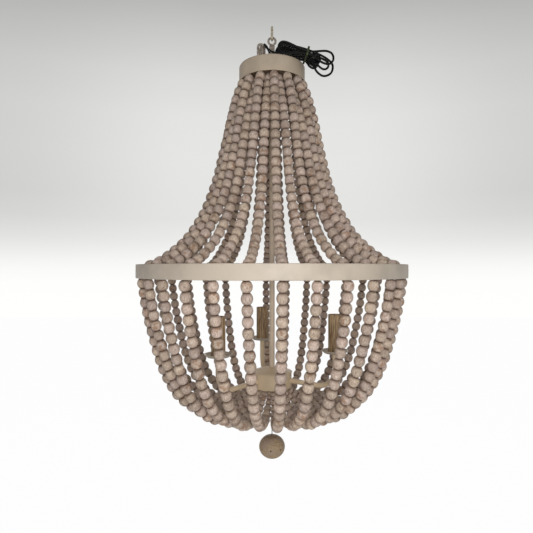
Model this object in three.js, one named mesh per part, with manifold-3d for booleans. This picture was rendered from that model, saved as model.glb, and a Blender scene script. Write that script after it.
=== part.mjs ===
// Beaded chandelier: strands of wooden beads run from a small crown ring over a wide
// middle ring and back in under a hub that carries three candle arms.
// Millimetres, +Z up. The origin is the inside top of the hanging link, where it is hung.
// An azimuth is measured from the front (-Y) towards the right (+X).
import * as THREE from 'three';
import { mergeVertices } from 'three/addons/utils/BufferGeometryUtils.js';
import Module from 'manifold-3d';

const wasm = await Module();
wasm.setup();

// Shared clearances
const clearance = 0.3;
const overrun = 5;
const thread_clearance = 0.3;

// Chain link and hanging loop
const link_wire = 4.5;
const link_length = 28.5;
const link_width = 17;
const loop_wire = 4;
const loop_diameter = 18;
const loop_neck_diameter = 10.5;
const loop_neck_length = 35;
const loop_stub_length = 8;

// Centre stem
const stem_diameter = 10.5;
const stem_bore = 7.6;
const stem_above_crown = 8;
const stem_collar_diameter = 22;
const stem_collar_height = 3;
const stem_into_hub = 12;
const lock_nut_across_flats = 18;
const lock_nut_height = 6;

// Crown pan and its strand plate
const crown_diameter = 127;
const crown_height = 30;
const crown_wall = 2;
const crown_edge_bevel = 1.6;
const crown_plate_thickness = 2;
const crown_plate_recess = 3;
const crown_plate_opening = 64;
const crown_outer_row_radius = 56.5;
const crown_inner_row_radius = 42;

// Middle ring and the spider that centres it on the stem
const drop_to_ring = 352.3;
const ring_diameter = 508;
const ring_height = 22.6;
const ring_wall = 2.2;
const ring_flange_width = 15.6;
const ring_flange_thickness = 2;
const spider_boss_diameter = 24;
const spider_boss_height = 12;
const spider_bar_width = 12;
const spider_bar_thickness = 3;
const spider_bar_end_gap = 3;

// Hub
const ring_to_hub_bottom = 212.6;
const hub_diameter = 76;
const hub_height = 28;
const hub_wall = 2;
const hub_outer_row_radius = 32.5;
const hub_inner_row_radius = 23.5;
const hub_cover_lip = 1;
const hub_cover_rise = 9.5;
const hub_cover_wall = 1.6;
const hub_cover_flat_radius = 12;

// Strands of beads
const strand_count = 30;
const first_strand_azimuth = 3.5;
const bead_diameter = 17;
const smallest_bead_diameter = 9;
const bead_taper_length = 74;
const small_bead_run = 8;
const bead_end_cone = 3;
const strand_cord_diameter = 1.8;
const strand_hole_diameter = 3.2;
const strand_knot_diameter = 4.4;
const strand_knot_height = 3;
const row_merge_share = 0.38;

// The curves that the strands hang in: how far out and how far down, as shares
const upper_out_shares = [0.01, 0.067, 0.109, 0.145, 0.209, 0.286, 0.402, 0.58, 0.832, 0.955];
const upper_down_shares = [0.012, 0.081, 0.16, 0.241, 0.406, 0.569, 0.726, 0.869, 0.981, 1.008];
const lower_in_shares = [0, 0.045, 0.106, 0.183, 0.303, 0.482, 0.711, 0.825, 0.915, 0.985];
const lower_down_shares = [0.03, 0.302, 0.544, 0.786, 1, 1.144, 1.18, 1.147, 1.08, 1.03];

// Candle arms, drip dishes, lamp sockets and candle sleeves
const arm_count = 3;
const first_arm_azimuth = -50;
const arm_tube_diameter = 9.5;
const arm_start_radius = 24;
const arm_height_in_hub = 14;
const candle_radius = 124;
const arm_dip = 4;
const arm_bend_radius = 30;
const dish_above_arm = 58.5;
const dish_diameter = 51;
const dish_wall = 1.4;
const dish_depth = 6;
const dish_floor_radius = 19;
const dish_hole_diameter = 8;
const socket_diameter = 20.5;
const socket_height = 66;
const socket_bore_diameter = 14.5;
const socket_bore_depth = 26;
const sleeve_diameter = 25.5;
const sleeve_wall = 1.6;
const sleeve_height = 70;

// Finial ball on its wire, with the eye that it hangs from
const finial_diameter = 50;
const finial_height = 45;
const finial_centre_below_hub = 116;
const finial_wire_diameter = 1.6;
const finial_bore_depth = 8;
const finial_hole_count = 8;
const finial_hole_diameter = 3;
const finial_hole_depth = 4;
const first_finial_hole_azimuth = -5;
const eye_mean_radius = 3;
const eye_drop = 2.2;

// Spare links that are bunched on the crown
const spare_link_x = -20.3;
const spare_link_y = -31;
const spare_link_turn = 20;

// Supply cord: bush, lead, hank and tie
const cord_diameter = 4;
const bush_x = -4;
const bush_y = -24;
const bush_body_diameter = 8.4;
const bush_flange_diameter = 12;
const bush_flange_height = 2.5;
const bush_below_crown = 3;
const bush_bore_clearance = 0.5;
const lead_points = [
  [-4, -24, -69],
  [-5, -27, -59],
  [-9.5, -33.5, -51.5],
  [-13.5, -41, -50.5],
  [-13.5, -48.5, -55],
  [-8, -54, -64],
  [1, -56.8, -71.5],
];

// Hank: one loop in each plane, drawn together in three rows at the tie
const hank_start_x = 9;
const hank_start_y = -41;
const hank_turn = 6.3;
const hank_planes = 8;
const hank_plane_gap = 0.8;
const hank_row_gap = 0.9;
const hank_rest_gap = 0.5;
const hank_first_at = 12;
const hank_last_at = 76;
const hank_last_drop = 4;
const left_fold_end = 3.5;
const left_fold_shift = 0.6;
const left_fold_radius = 12.6;
const left_fold_shrink = 0.35;
const left_fold_opening = 22;
const right_folds = [
  [103, -1.2, 12],
  [103, -16.7, 16.5],
  [80, -0.5, 8.5],
  [97, -8, 8.5],
  [79, -0.5, 8.5],
  [81, 3.5, 8.5],
  [79, -0.5, 8.5],
];
const tie_at = 55;
const tie_rise = 9;
const tie_tilt = 15;
const tie_thickness = 1.2;
const tie_width = 3.5;
const tie_clearance = 0.7;

// Numbers of facets
const ring_facets = 48;
const crown_facets = 36;
const hub_facets = 24;
const dish_facets = 16;
const rod_facets = 12;
const socket_facets = 14;
const wire_facets = 8;
const thin_wire_facets = 6;
const bend_facets = 16;
const ball_facets = 18;
const strand_sides = 5;
const upper_strand_rings = 9;
const lower_strand_rings = 11;
const hole_sides = 4;
const nut_sides = 6;
const arm_bend_steps = 5;
const finial_hole_sides = 5;
const hank_sides = 6;
const fold_steps = 4;
const hank_steps_between_points = 2;

// Heights and distances worked out from the sizes above
const link_inner_bottom = -(link_length - 2 * link_wire);
const loop_centre_z = link_inner_bottom + clearance - (loop_diameter / 2 - loop_wire);
const loop_bottom = loop_centre_z - loop_diameter / 2;
const stem_top = loop_bottom - loop_neck_length - clearance;
const crown_top = stem_top - stem_above_crown;
const crown_bottom = crown_top - crown_height;
const crown_plate_bottom = crown_bottom + crown_plate_recess;
const ring_top = crown_bottom - drop_to_ring;
const ring_bottom = ring_top - ring_height;
const flange_top = ring_bottom + ring_flange_thickness;
const hub_bottom = ring_bottom - ring_to_hub_bottom;
const hub_top = hub_bottom + hub_height;
const arm_z = hub_bottom + arm_height_in_hub;
const dish_bottom = arm_z + dish_above_arm;
const ring_row_radius = ring_diameter / 2 - ring_wall - ring_flange_width / 2;
const stem_hole_radius = stem_diameter / 2 + clearance;
const hank_plane_pitch = cord_diameter + hank_plane_gap;
const hank_row_pitch = cord_diameter + hank_row_gap;
const hank_rest = cord_diameter / 2 + hank_rest_gap;

const group = new THREE.Group();

// Materials
function finish(color, roughness, metalness) {
  return new THREE.MeshStandardMaterial({ color, roughness, metalness });
}
const cream_paint = [0xc4b8a2, 0.6, 0];
const bead_wood = [0xb7a08c, 0.75, 0];
const dark_wood = [0x877a5a, 0.6, 0];
const sleeve_wood = [0x6e5a41, 0.75, 0];
const worn_metal = [0x8d857a, 0.5, 0.6];
const black_plastic = [0x111111, 0.5, 0];
const ivory_plastic = [0xd9d2c0, 0.5, 0];
const tie_plastic = [0x3b4a1e, 0.6, 0];

// A geometry whose shared corners are merged and whose faces point out
function closed(geometry) {
  const bare = geometry.index ? geometry.clone() : geometry;
  bare.deleteAttribute('normal');
  bare.deleteAttribute('uv');
  const merged = mergeVertices(bare);
  const position = merged.attributes.position;
  const index = Array.from(merged.index.array);
  const a = new THREE.Vector3();
  const b = new THREE.Vector3();
  const c = new THREE.Vector3();
  const kept = [];
  let volume = 0;
  for (let i = 0; i < index.length; i += 3) {
    const [p, q, r] = index.slice(i, i + 3);
    if (p === q || q === r || r === p) continue;
    a.fromBufferAttribute(position, p);
    b.fromBufferAttribute(position, q);
    c.fromBufferAttribute(position, r);
    volume += a.dot(b.cross(c));
    kept.push(p, q, r);
  }
  if (volume < 0) kept.reverse();
  merged.setIndex(kept);
  return merged;
}

function solidOf(geometry) {
  const body = closed(geometry);
  return new wasm.Manifold(
    new wasm.Mesh({
      numProp: 3,
      vertProperties: new Float32Array(body.attributes.position.array),
      triVerts: new Uint32Array(body.index.array),
    }),
  );
}

function geometryOf(solid) {
  const mesh = solid.getMesh();
  const geometry = new THREE.BufferGeometry();
  geometry.setAttribute('position', new THREE.BufferAttribute(mesh.vertProperties, 3));
  geometry.setIndex(new THREE.BufferAttribute(mesh.triVerts, 1));
  return geometry;
}

function add(name, geometry, look, parent = group) {
  const body = closed(geometry);
  body.computeVertexNormals();
  const mesh = new THREE.Mesh(body, finish(...look));
  mesh.name = name;
  parent.add(mesh);
}

// Directions
function radians(degrees) {
  return THREE.MathUtils.degToRad(degrees);
}

function outward(azimuth) {
  return new THREE.Vector3(Math.sin(radians(azimuth)), -Math.cos(radians(azimuth)), 0);
}

function sideways(azimuth) {
  return new THREE.Vector3(Math.cos(radians(azimuth)), Math.sin(radians(azimuth)), 0);
}

function atRadius(azimuth, radius, z) {
  const point = outward(azimuth).multiplyScalar(radius);
  point.z = z;
  return point;
}

// A solid of revolution about Z from a profile of [radius, height]
function revolve(profile, facets) {
  const points = profile.map(([radius, height]) => new THREE.Vector2(radius, height));
  const geometry = new THREE.LatheGeometry(points, facets);
  geometry.rotateX(Math.PI / 2);
  return geometry;
}

function tubeProfile(outer, inner, bottom, top) {
  return [[inner, bottom], [outer, bottom], [outer, top], [inner, top], [inner, bottom]];
}

function rodProfile(radius, bottom, top) {
  return [[0, bottom], [radius, bottom], [radius, top], [0, top]];
}

// A skin over a row of rings with the same number of corners, with its ends closed
function loft(rings, endless = false) {
  const sides = rings[0].length;
  const positions = rings.flat().flatMap((point) => [point.x, point.y, point.z]);
  const index = [];
  const spans = endless ? rings.length : rings.length - 1;
  for (let i = 0; i < spans; i += 1) {
    const next = (i + 1) % rings.length;
    for (let j = 0; j < sides; j += 1) {
      const k = (j + 1) % sides;
      index.push(i * sides + j, i * sides + k, next * sides + k);
      index.push(i * sides + j, next * sides + k, next * sides + j);
    }
  }
  const last = (rings.length - 1) * sides;
  for (let j = 1; j < sides - 1 && !endless; j += 1) {
    index.push(0, j + 1, j);
    index.push(last, last + j, last + j + 1);
  }
  const geometry = new THREE.BufferGeometry();
  geometry.setAttribute('position', new THREE.Float32BufferAttribute(positions, 3));
  geometry.setIndex(index);
  return geometry;
}

function ringAround(centre, normal, binormal, radius, sides) {
  const ring = [];
  for (let j = 0; j < sides; j += 1) {
    const angle = (2 * Math.PI * j) / sides;
    ring.push(
      centre
        .clone()
        .addScaledVector(normal, radius * Math.cos(angle))
        .addScaledVector(binormal, radius * Math.sin(angle)),
    );
  }
  return ring;
}

// A tube of even thickness along a list of points, free of twist
function tubeAlong(points, radius, sides) {
  const rings = [];
  const tangent = new THREE.Vector3().subVectors(points[1], points[0]).normalize();
  const steep = Math.abs(tangent.z) > Math.SQRT1_2;
  const across = new THREE.Vector3(steep ? 1 : 0, 0, steep ? 0 : 1);
  const normal = across.addScaledVector(tangent, -across.dot(tangent)).normalize();
  points.forEach((point, i) => {
    const before = points[Math.max(i - 1, 0)];
    const after = points[Math.min(i + 1, points.length - 1)];
    tangent.subVectors(after, before).normalize();
    normal.addScaledVector(tangent, -normal.dot(tangent)).normalize();
    const binormal = new THREE.Vector3().crossVectors(tangent, normal);
    rings.push(ringAround(point, normal, binormal, radius, sides));
  });
  return loft(rings);
}

// A link of bent wire, long along Z, lying in the YZ plane, centred on the origin
function linkGeometry() {
  const bend = (link_width - link_wire) / 2;
  const straight = link_length - link_width;
  const rings = [];
  for (let i = 0; i < bend_facets; i += 1) {
    const half = i < bend_facets / 2 ? 1 : -1;
    const angle = (Math.PI * (half > 0 ? i : i - bend_facets / 2)) / (bend_facets / 2 - 1);
    const normal = new THREE.Vector3(0, half * Math.cos(angle), half * Math.sin(angle));
    const centre = normal.clone().multiplyScalar(bend);
    centre.z += (half * straight) / 2;
    rings.push(ringAround(centre, normal, new THREE.Vector3(1, 0, 0), link_wire / 2, wire_facets));
  }
  return loft(rings, true);
}

// A closed ring of wire in the XZ plane
function wireRing(mean_radius, wire_radius, facets, sides) {
  const rings = [];
  for (let i = 0; i < facets; i += 1) {
    const angle = (2 * Math.PI * i) / facets;
    const normal = new THREE.Vector3(Math.cos(angle), 0, Math.sin(angle));
    const centre = normal.clone().multiplyScalar(mean_radius);
    rings.push(ringAround(centre, normal, new THREE.Vector3(0, 1, 0), wire_radius, sides));
  }
  return loft(rings, true);
}

// Hanging link and loop
function addHanger() {
  const link = linkGeometry();
  link.translate(0, 0, link_wire - link_length / 2);
  add('hanging_link', link, worn_metal);

  const loop_mean = (loop_diameter - loop_wire) / 2;
  const loop = wireRing(loop_mean, loop_wire / 2, bend_facets, wire_facets);
  loop.translate(0, 0, loop_centre_z);
  const neck_bottom = stem_top + clearance;
  const stub_radius = stem_bore / 2 - thread_clearance;
  const neck = revolve(
    [
      [0, neck_bottom - loop_stub_length],
      [stub_radius, neck_bottom - loop_stub_length],
      [stub_radius, neck_bottom],
      [loop_neck_diameter / 2, neck_bottom],
      [loop_neck_diameter / 2, loop_bottom],
      [loop_wire / 2, loop_bottom + loop_wire / 2],
      [0, loop_bottom + loop_wire / 2],
    ],
    rod_facets,
  );
  add('hanging_loop', geometryOf(solidOf(loop).add(solidOf(neck))), worn_metal);

  const nut_radius = lock_nut_across_flats / 2 / Math.cos(Math.PI / nut_sides);
  const nut_bottom = crown_top + clearance;
  const nut_top = nut_bottom + lock_nut_height;
  const nut = solidOf(revolve(rodProfile(nut_radius, nut_bottom, nut_top), nut_sides));
  const bore_radius = stem_diameter / 2 + thread_clearance;
  const bore = revolve(rodProfile(bore_radius, nut_bottom - overrun, nut_top + overrun), rod_facets);
  add('lock_nut', geometryOf(nut.subtract(solidOf(bore))), worn_metal);
}

// Centre stem: a tube with a collar that the crown rests on
function addStem() {
  const outer = stem_diameter / 2;
  const inner = stem_bore / 2;
  const bottom = hub_top - stem_into_hub;
  const collar_top = crown_top - crown_wall - clearance;
  const collar_bottom = collar_top - stem_collar_height;
  add(
    'centre_stem',
    revolve(
      [
        [inner, bottom],
        [outer, bottom],
        [outer, collar_bottom],
        [stem_collar_diameter / 2, collar_bottom],
        [stem_collar_diameter / 2, collar_top],
        [outer, collar_top],
        [outer, stem_top],
        [inner, stem_top],
        [inner, bottom],
      ],
      rod_facets,
    ),
    cream_paint,
  );
}

// Holes for the strands: even strands take one row, odd strands the other
function strandAzimuth(i) {
  return first_strand_azimuth + (360 * i) / strand_count;
}

function strandHoles(row_radii, bottom, top) {
  const hole_radius = strand_hole_diameter / 2;
  const hole = revolve(rodProfile(hole_radius, bottom - overrun, top + overrun), hole_sides);
  let holes = null;
  for (let i = 0; i < strand_count; i += 1) {
    const place = atRadius(strandAzimuth(i), row_radii[i % row_radii.length], 0);
    const one = solidOf(hole.clone().translate(place.x, place.y, 0));
    holes = holes ? holes.add(one) : one;
  }
  return holes;
}

// Crown: a shallow pan, open below, with a plate inside that the strands hang from
function addCrown() {
  const outer = crown_diameter / 2;
  const inner = outer - crown_wall;
  const pan = revolve(
    [
      [stem_hole_radius, crown_top - crown_wall],
      [inner, crown_top - crown_wall],
      [inner, crown_bottom],
      [outer, crown_bottom],
      [outer, crown_top - crown_edge_bevel],
      [outer - crown_edge_bevel, crown_top],
      [stem_hole_radius, crown_top],
      [stem_hole_radius, crown_top - crown_wall],
    ],
    crown_facets,
  );
  const bush_hole_radius = bush_body_diameter / 2 + clearance;
  const bush_hole = revolve(
    rodProfile(bush_hole_radius, crown_top - crown_wall - overrun, crown_top + overrun),
    rod_facets,
  );
  bush_hole.translate(bush_x, bush_y, 0);
  add('crown_pan', geometryOf(solidOf(pan).subtract(solidOf(bush_hole))), cream_paint);

  const plate_top = crown_plate_bottom + crown_plate_thickness;
  const plate_radius = (inner - clearance) * Math.cos(Math.PI / crown_facets);
  const plate = revolve(
    tubeProfile(plate_radius, crown_plate_opening / 2, crown_plate_bottom, plate_top),
    crown_facets,
  );
  const rows = [crown_outer_row_radius, crown_inner_row_radius];
  const holes = strandHoles(rows, crown_plate_bottom, plate_top);
  add('crown_strand_plate', geometryOf(solidOf(plate).subtract(holes)), cream_paint);
}

// Middle ring: a thin band with a flange inside its lower edge, which the strands pass through
function addRing() {
  const outer = ring_diameter / 2;
  const inner = outer - ring_wall;
  const lip = inner - ring_flange_width;
  const band = revolve(
    [
      [lip, ring_bottom],
      [outer, ring_bottom],
      [outer, ring_top],
      [inner, ring_top],
      [inner, flange_top],
      [lip, flange_top],
      [lip, ring_bottom],
    ],
    ring_facets,
  );
  const holes = strandHoles([ring_row_radius], ring_bottom, flange_top);
  add('mid_ring', geometryOf(solidOf(band).subtract(holes)), cream_paint);

  const bar_bottom = flange_top + clearance;
  const bar_end = inner - spider_bar_end_gap;
  const boss_middle = bar_bottom + spider_bar_thickness / 2;
  const boss_profile = rodProfile(
    spider_boss_diameter / 2,
    boss_middle - spider_boss_height / 2,
    boss_middle + spider_boss_height / 2,
  );
  let spider = solidOf(revolve(boss_profile, rod_facets));
  for (let i = 0; i < arm_count; i += 1) {
    const bar = new THREE.BoxGeometry(spider_bar_width, bar_end, spider_bar_thickness);
    bar.translate(0, -bar_end / 2, boss_middle);
    const half_step = 180 / strand_count;
    bar.rotateZ(radians(first_strand_azimuth + half_step + (360 * i) / arm_count));
    spider = spider.add(solidOf(bar));
  }
  const bore_bottom = boss_middle - spider_boss_height / 2 - overrun;
  const bore_top = boss_middle + spider_boss_height / 2 + overrun;
  const bore = revolve(rodProfile(stem_hole_radius, bore_bottom, bore_top), rod_facets);
  add('ring_spider', geometryOf(spider.subtract(solidOf(bore))), cream_paint);
}

// Azimuth of a candle arm
function armAzimuth(i) {
  return first_arm_azimuth + (360 * i) / arm_count;
}

// Hub: a cup with the strand holes in its floor, an eye below it and a domed cover on top
function addHub() {
  const outer = hub_diameter / 2;
  const inner = outer - hub_wall;
  const floor_top = hub_bottom + hub_wall;
  const profile = [
    [0, hub_bottom],
    [outer, hub_bottom],
    [outer, hub_top],
    [inner, hub_top],
    [inner, floor_top],
    [0, floor_top],
  ];
  let cup = solidOf(revolve(profile, hub_facets));
  for (let i = 0; i < arm_count; i += 1) {
    const reach = hub_wall + 2 * overrun;
    const hole = new THREE.CylinderGeometry(
      arm_tube_diameter / 2 + clearance,
      arm_tube_diameter / 2 + clearance,
      reach,
      rod_facets,
    );
    const place = atRadius(armAzimuth(i), outer - hub_wall / 2, arm_z);
    hole.rotateZ(radians(armAzimuth(i)));
    hole.translate(place.x, place.y, place.z);
    cup = cup.subtract(solidOf(hole));
  }
  const rows = [hub_outer_row_radius, hub_inner_row_radius];
  cup = cup.subtract(strandHoles(rows, hub_bottom, floor_top));
  const eye = wireRing(eye_mean_radius, finial_wire_diameter / 2, rod_facets, thin_wire_facets);
  eye.translate(0, 0, hub_bottom - eye_drop);
  const eye_bottom = hub_bottom - eye_drop - eye_mean_radius - finial_wire_diameter;
  const below = revolve(rodProfile(outer, eye_bottom, hub_bottom + hub_wall / 2), rod_facets);
  cup = cup.add(solidOf(eye).intersect(solidOf(below)));
  add('hub_cup', geometryOf(cup), cream_paint);

  const cover_bottom = hub_top + clearance;
  const cover_top = cover_bottom + hub_cover_rise;
  const cover_radius = outer + hub_cover_lip;
  const cover_shoulder = (cover_radius + hub_cover_flat_radius) / 2;
  add(
    'hub_cover',
    revolve(
      [
        [stem_hole_radius, cover_top - hub_cover_wall],
        [hub_cover_flat_radius, cover_top - hub_cover_wall],
        [inner, cover_bottom],
        [cover_radius, cover_bottom],
        [cover_radius, cover_bottom + hub_cover_wall],
        [cover_shoulder, cover_bottom + hub_cover_rise / 2 + hub_cover_wall],
        [hub_cover_flat_radius, cover_top],
        [stem_hole_radius, cover_top],
        [stem_hole_radius, cover_top - hub_cover_wall],
      ],
      hub_facets,
    ),
    cream_paint,
  );
}

// The radius of the crown end of a strand's curve: the inner row joins the outer one lower down
function rowInset(down_share) {
  const along_share = THREE.MathUtils.clamp(down_share / row_merge_share, 0, 1);
  const apart = crown_outer_row_radius - crown_inner_row_radius;
  return apart * Math.cos((Math.PI / 2) * along_share) ** 2;
}

// Points (radius, height) of the two curves of strand i, down to the ring and in to the hub
function upperCurve(i) {
  const span = ring_row_radius - crown_outer_row_radius;
  const points = upper_out_shares.map((out_share, k) => {
    const down_share = upper_down_shares[k];
    const inset = i % 2 ? rowInset(down_share) : 0;
    const radius = crown_outer_row_radius + out_share * span - inset;
    return new THREE.Vector3(radius, crown_bottom - down_share * drop_to_ring, 0);
  });
  return new THREE.CatmullRomCurve3(points, false, 'centripetal');
}

function lowerCurve(i) {
  const row = i % 2 ? hub_inner_row_radius : hub_outer_row_radius;
  const points = lower_in_shares.map((in_share, k) => {
    const radius = ring_row_radius - in_share * (ring_row_radius - row);
    return new THREE.Vector3(radius, ring_bottom - lower_down_shares[k] * ring_to_hub_bottom, 0);
  });
  return new THREE.CatmullRomCurve3(points, false, 'centripetal');
}

// The beads' diameter at a length from the hub end of a strand
function beadDiameter(from_hub) {
  const taper_share = (from_hub - small_bead_run) / (bead_taper_length - small_bead_run);
  const kept_share = THREE.MathUtils.clamp(taper_share, 0, 1);
  return smallest_bead_diameter + (bead_diameter - smallest_bead_diameter) * kept_share;
}

// One strand: a knot above the crown plate, the beads down to the ring, the cord through
// its flange, the beads in to the hub and a knot inside it
function addStrand(i) {
  const azimuth = strandAzimuth(i);
  const out = outward(azimuth);
  const side = sideways(azimuth);
  const cord = strand_cord_diameter / 2;
  const knot = strand_knot_diameter / 2;
  const rings = [];
  const place = (radius, z, along_r, along_z, thickness) => {
    const centre = out.clone().multiplyScalar(radius).setZ(z);
    const normal = out.clone().multiplyScalar(-along_z).setZ(along_r);
    rings.push(ringAround(centre, normal, side, thickness, strand_sides));
  };
  const run = (curve, count, thicknessAt) => {
    const length = curve.getLength();
    for (let k = 0; k < count; k += 1) {
      const share = k / (count - 1);
      const point = curve.getPointAt(share);
      const along = curve.getTangentAt(share);
      place(point.x, point.y, along.x, along.y, thicknessAt(length * (1 - share)));
    }
  };
  const cordBeside = (curve, share, outside) => {
    const point = curve.getPointAt(share);
    const along = curve.getTangentAt(share);
    const step = bead_end_cone * outside;
    place(point.x + along.x * step, point.y + along.y * step, along.x, along.y, cord);
  };
  const upper = upperCurve(i);
  const lower = lowerCurve(i);
  const crown_row = i % 2 ? crown_inner_row_radius : crown_outer_row_radius;
  const hub_row = i % 2 ? hub_inner_row_radius : hub_outer_row_radius;
  const knot_bottom = crown_plate_bottom + crown_plate_thickness + clearance;
  place(crown_row, knot_bottom + strand_knot_height, 0, -1, knot);
  place(crown_row, knot_bottom, 0, -1, knot);
  place(crown_row, knot_bottom - clearance / 2, 0, -1, cord);
  cordBeside(upper, 0, -1);
  run(upper, upper_strand_rings, () => bead_diameter / 2);
  cordBeside(upper, 1, 1);
  place(ring_row_radius, flange_top + clearance, 0, -1, cord);
  cordBeside(lower, 0, -1);
  run(lower, lower_strand_rings, (from_hub) => beadDiameter(from_hub) / 2);
  cordBeside(lower, 1, 1);
  const hub_knot_bottom = hub_bottom + hub_wall + clearance;
  place(hub_row, hub_knot_bottom - clearance / 2, 0, 1, cord);
  place(hub_row, hub_knot_bottom, 0, 1, knot);
  place(hub_row, hub_knot_bottom + strand_knot_height, 0, 1, knot);
  const number = String(i + 1).padStart(2, '0');
  add('bead_strand_' + number, loft(rings), bead_wood);
}

// One candle arm with its drip dish, lamp socket and sleeve
function addCandle(i) {
  const azimuth = armAzimuth(i);
  const number = i + 1;
  const arm_end = dish_bottom - clearance;
  const low = arm_z - arm_dip;
  const bend_start = candle_radius - arm_bend_radius;
  const route = [
    [arm_start_radius, arm_z],
    [hub_diameter / 2 + overrun, arm_z],
    [bend_start, low],
  ];
  for (let k = 1; k <= arm_bend_steps; k += 1) {
    const angle = (Math.PI / 2) * (k / arm_bend_steps);
    const rise = arm_bend_radius * (1 - Math.cos(angle));
    route.push([bend_start + arm_bend_radius * Math.sin(angle), low + rise]);
  }
  route.push([candle_radius, arm_end]);
  const points = route.map(([radius, z]) => atRadius(azimuth, radius, z));
  add('candle_arm_' + number, tubeAlong(points, arm_tube_diameter / 2, wire_facets), cream_paint);

  const place = atRadius(azimuth, candle_radius, 0);
  const floor_top = dish_bottom + dish_wall;
  const rim = dish_diameter / 2;
  const dish = revolve(
    [
      [dish_hole_diameter / 2, dish_bottom],
      [dish_floor_radius, dish_bottom],
      [rim, dish_bottom + dish_depth - dish_wall],
      [rim, dish_bottom + dish_depth],
      [dish_floor_radius, floor_top],
      [dish_hole_diameter / 2, floor_top],
      [dish_hole_diameter / 2, dish_bottom],
    ],
    dish_facets,
  );
  dish.translate(place.x, place.y, 0);
  add('drip_dish_' + number, dish, cream_paint);

  const seat = floor_top + clearance;
  const socket_top = seat + socket_height;
  const socket = revolve(
    [
      [0, seat],
      [socket_diameter / 2, seat],
      [socket_diameter / 2, socket_top],
      [socket_bore_diameter / 2, socket_top],
      [socket_bore_diameter / 2, socket_top - socket_bore_depth],
      [0, socket_top - socket_bore_depth],
    ],
    socket_facets,
  );
  socket.translate(place.x, place.y, 0);
  add('lamp_socket_' + number, socket, ivory_plastic);

  const sleeve_radius = sleeve_diameter / 2;
  const sleeve = revolve(
    tubeProfile(sleeve_radius, sleeve_radius - sleeve_wall, seat, seat + sleeve_height),
    socket_facets,
  );
  sleeve.translate(place.x, place.y, 0);
  add('candle_sleeve_' + number, sleeve, sleeve_wood);
}

// Finial: a ball, drilled round its middle, on a wire whose eye hangs in the hub's eye
function addFinial() {
  const wire = finial_wire_diameter / 2;
  const hub_eye_bottom = hub_bottom - eye_drop - eye_mean_radius;
  const eye_top = hub_eye_bottom + 2 * wire + clearance;
  const eye = wireRing(eye_mean_radius, wire, rod_facets, thin_wire_facets);
  eye.rotateZ(Math.PI / 2);
  eye.translate(0, 0, eye_top - eye_mean_radius);
  const ball_centre = hub_bottom - finial_centre_below_hub;
  const ball_top = ball_centre + finial_height / 2;
  const wire_bottom = ball_top - finial_bore_depth + clearance;
  const stem = revolve(rodProfile(wire, wire_bottom, eye_top - 2 * eye_mean_radius), thin_wire_facets);
  add('finial_wire', geometryOf(solidOf(eye).add(solidOf(stem))), worn_metal);

  const bore_radius = wire + clearance;
  const steps = ball_facets / 2;
  const mouth_angle = Math.asin(bore_radius / (finial_diameter / 2));
  const bore_top = ball_top - finial_bore_depth;
  const profile = [[0, bore_top], [bore_radius, bore_top]];
  for (let k = 0; k <= steps; k += 1) {
    const angle = mouth_angle + (Math.PI - mouth_angle) * (k / steps);
    const radius = k === steps ? 0 : (finial_diameter / 2) * Math.sin(angle);
    profile.push([radius, ball_centre + (finial_height / 2) * Math.cos(angle)]);
  }
  let ball = solidOf(revolve(profile, ball_facets));
  const hole_radius = finial_hole_diameter / 2;
  const reach = finial_hole_depth + overrun;
  for (let i = 0; i < finial_hole_count; i += 1) {
    const azimuth = first_finial_hole_azimuth + (360 * i) / finial_hole_count;
    const middle = finial_diameter / 2 - finial_hole_depth + reach / 2;
    const place = atRadius(azimuth, middle, ball_centre);
    const hole = new THREE.CylinderGeometry(hole_radius, hole_radius, reach, finial_hole_sides);
    hole.rotateZ(radians(azimuth));
    hole.translate(place.x, place.y, place.z);
    ball = ball.subtract(solidOf(hole));
  }
  add('finial_ball', geometryOf(ball), dark_wood);
}

// Two spare links, each through the other, are bunched upright on the crown
function addSpareLinks() {
  const lower = linkGeometry();
  lower.rotateZ(radians(spare_link_turn));
  const lower_middle = crown_top + clearance + link_length / 2;
  lower.translate(spare_link_x, spare_link_y, lower_middle);
  add('spare_link_1', lower, worn_metal);

  const upper = linkGeometry();
  upper.rotateZ(radians(spare_link_turn) + Math.PI / 2);
  upper.translate(spare_link_x, spare_link_y, lower_middle + clearance + link_wire);
  add('spare_link_2', upper, worn_metal);
}

// The hank: u runs along it, v up from the crown's top and the planes count across it
function hankPlace(u, v, plane) {
  const along = new THREE.Vector3(Math.cos(radians(hank_turn)), Math.sin(radians(hank_turn)), 0);
  const across = new THREE.Vector3(-along.y, along.x, 0);
  return new THREE.Vector3(hank_start_x, hank_start_y, crown_top + v)
    .addScaledVector(along, u)
    .addScaledVector(across, (plane - (hank_planes - 1) / 2) * hank_plane_pitch);
}

// A fold: an arc about (u, v) between two angles, which may cross to the next plane
function foldPoints(u, v, radius, from, to, plane, next_plane) {
  const points = [];
  for (let k = 0; k <= fold_steps; k += 1) {
    const share = k / fold_steps;
    const angle = from + (to - from) * share;
    const across = plane + (next_plane - plane) * share;
    points.push(hankPlace(u + radius * Math.cos(angle), v + radius * Math.sin(angle), across));
  }
  return points;
}

// The left folds stand on the crown and carry the cord from plane to plane
function leftFold(plane) {
  const radius = left_fold_radius - left_fold_shrink * (plane - 1);
  const u = left_fold_end - left_fold_shift * (plane - 1) + radius;
  const from = Math.PI / 2 - radians(left_fold_opening);
  return foldPoints(u, hank_rest + radius, radius, from, (3 * Math.PI) / 2, plane - 1, plane);
}

// Each right fold has its own reach and hangs in line with the tie
function rightFold(plane) {
  const [end, rise, radius] = right_folds[plane];
  const run = end - radius - tie_at;
  const slope = Math.atan2(rise - tie_rise, run);
  const opening = Math.asin((radius - hank_row_pitch / 2) / Math.hypot(run, rise - tie_rise));
  const half_arc = Math.PI / 2 + opening;
  return foldPoints(end - radius, rise, radius, slope - half_arc, slope + half_arc, plane, plane);
}

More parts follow.
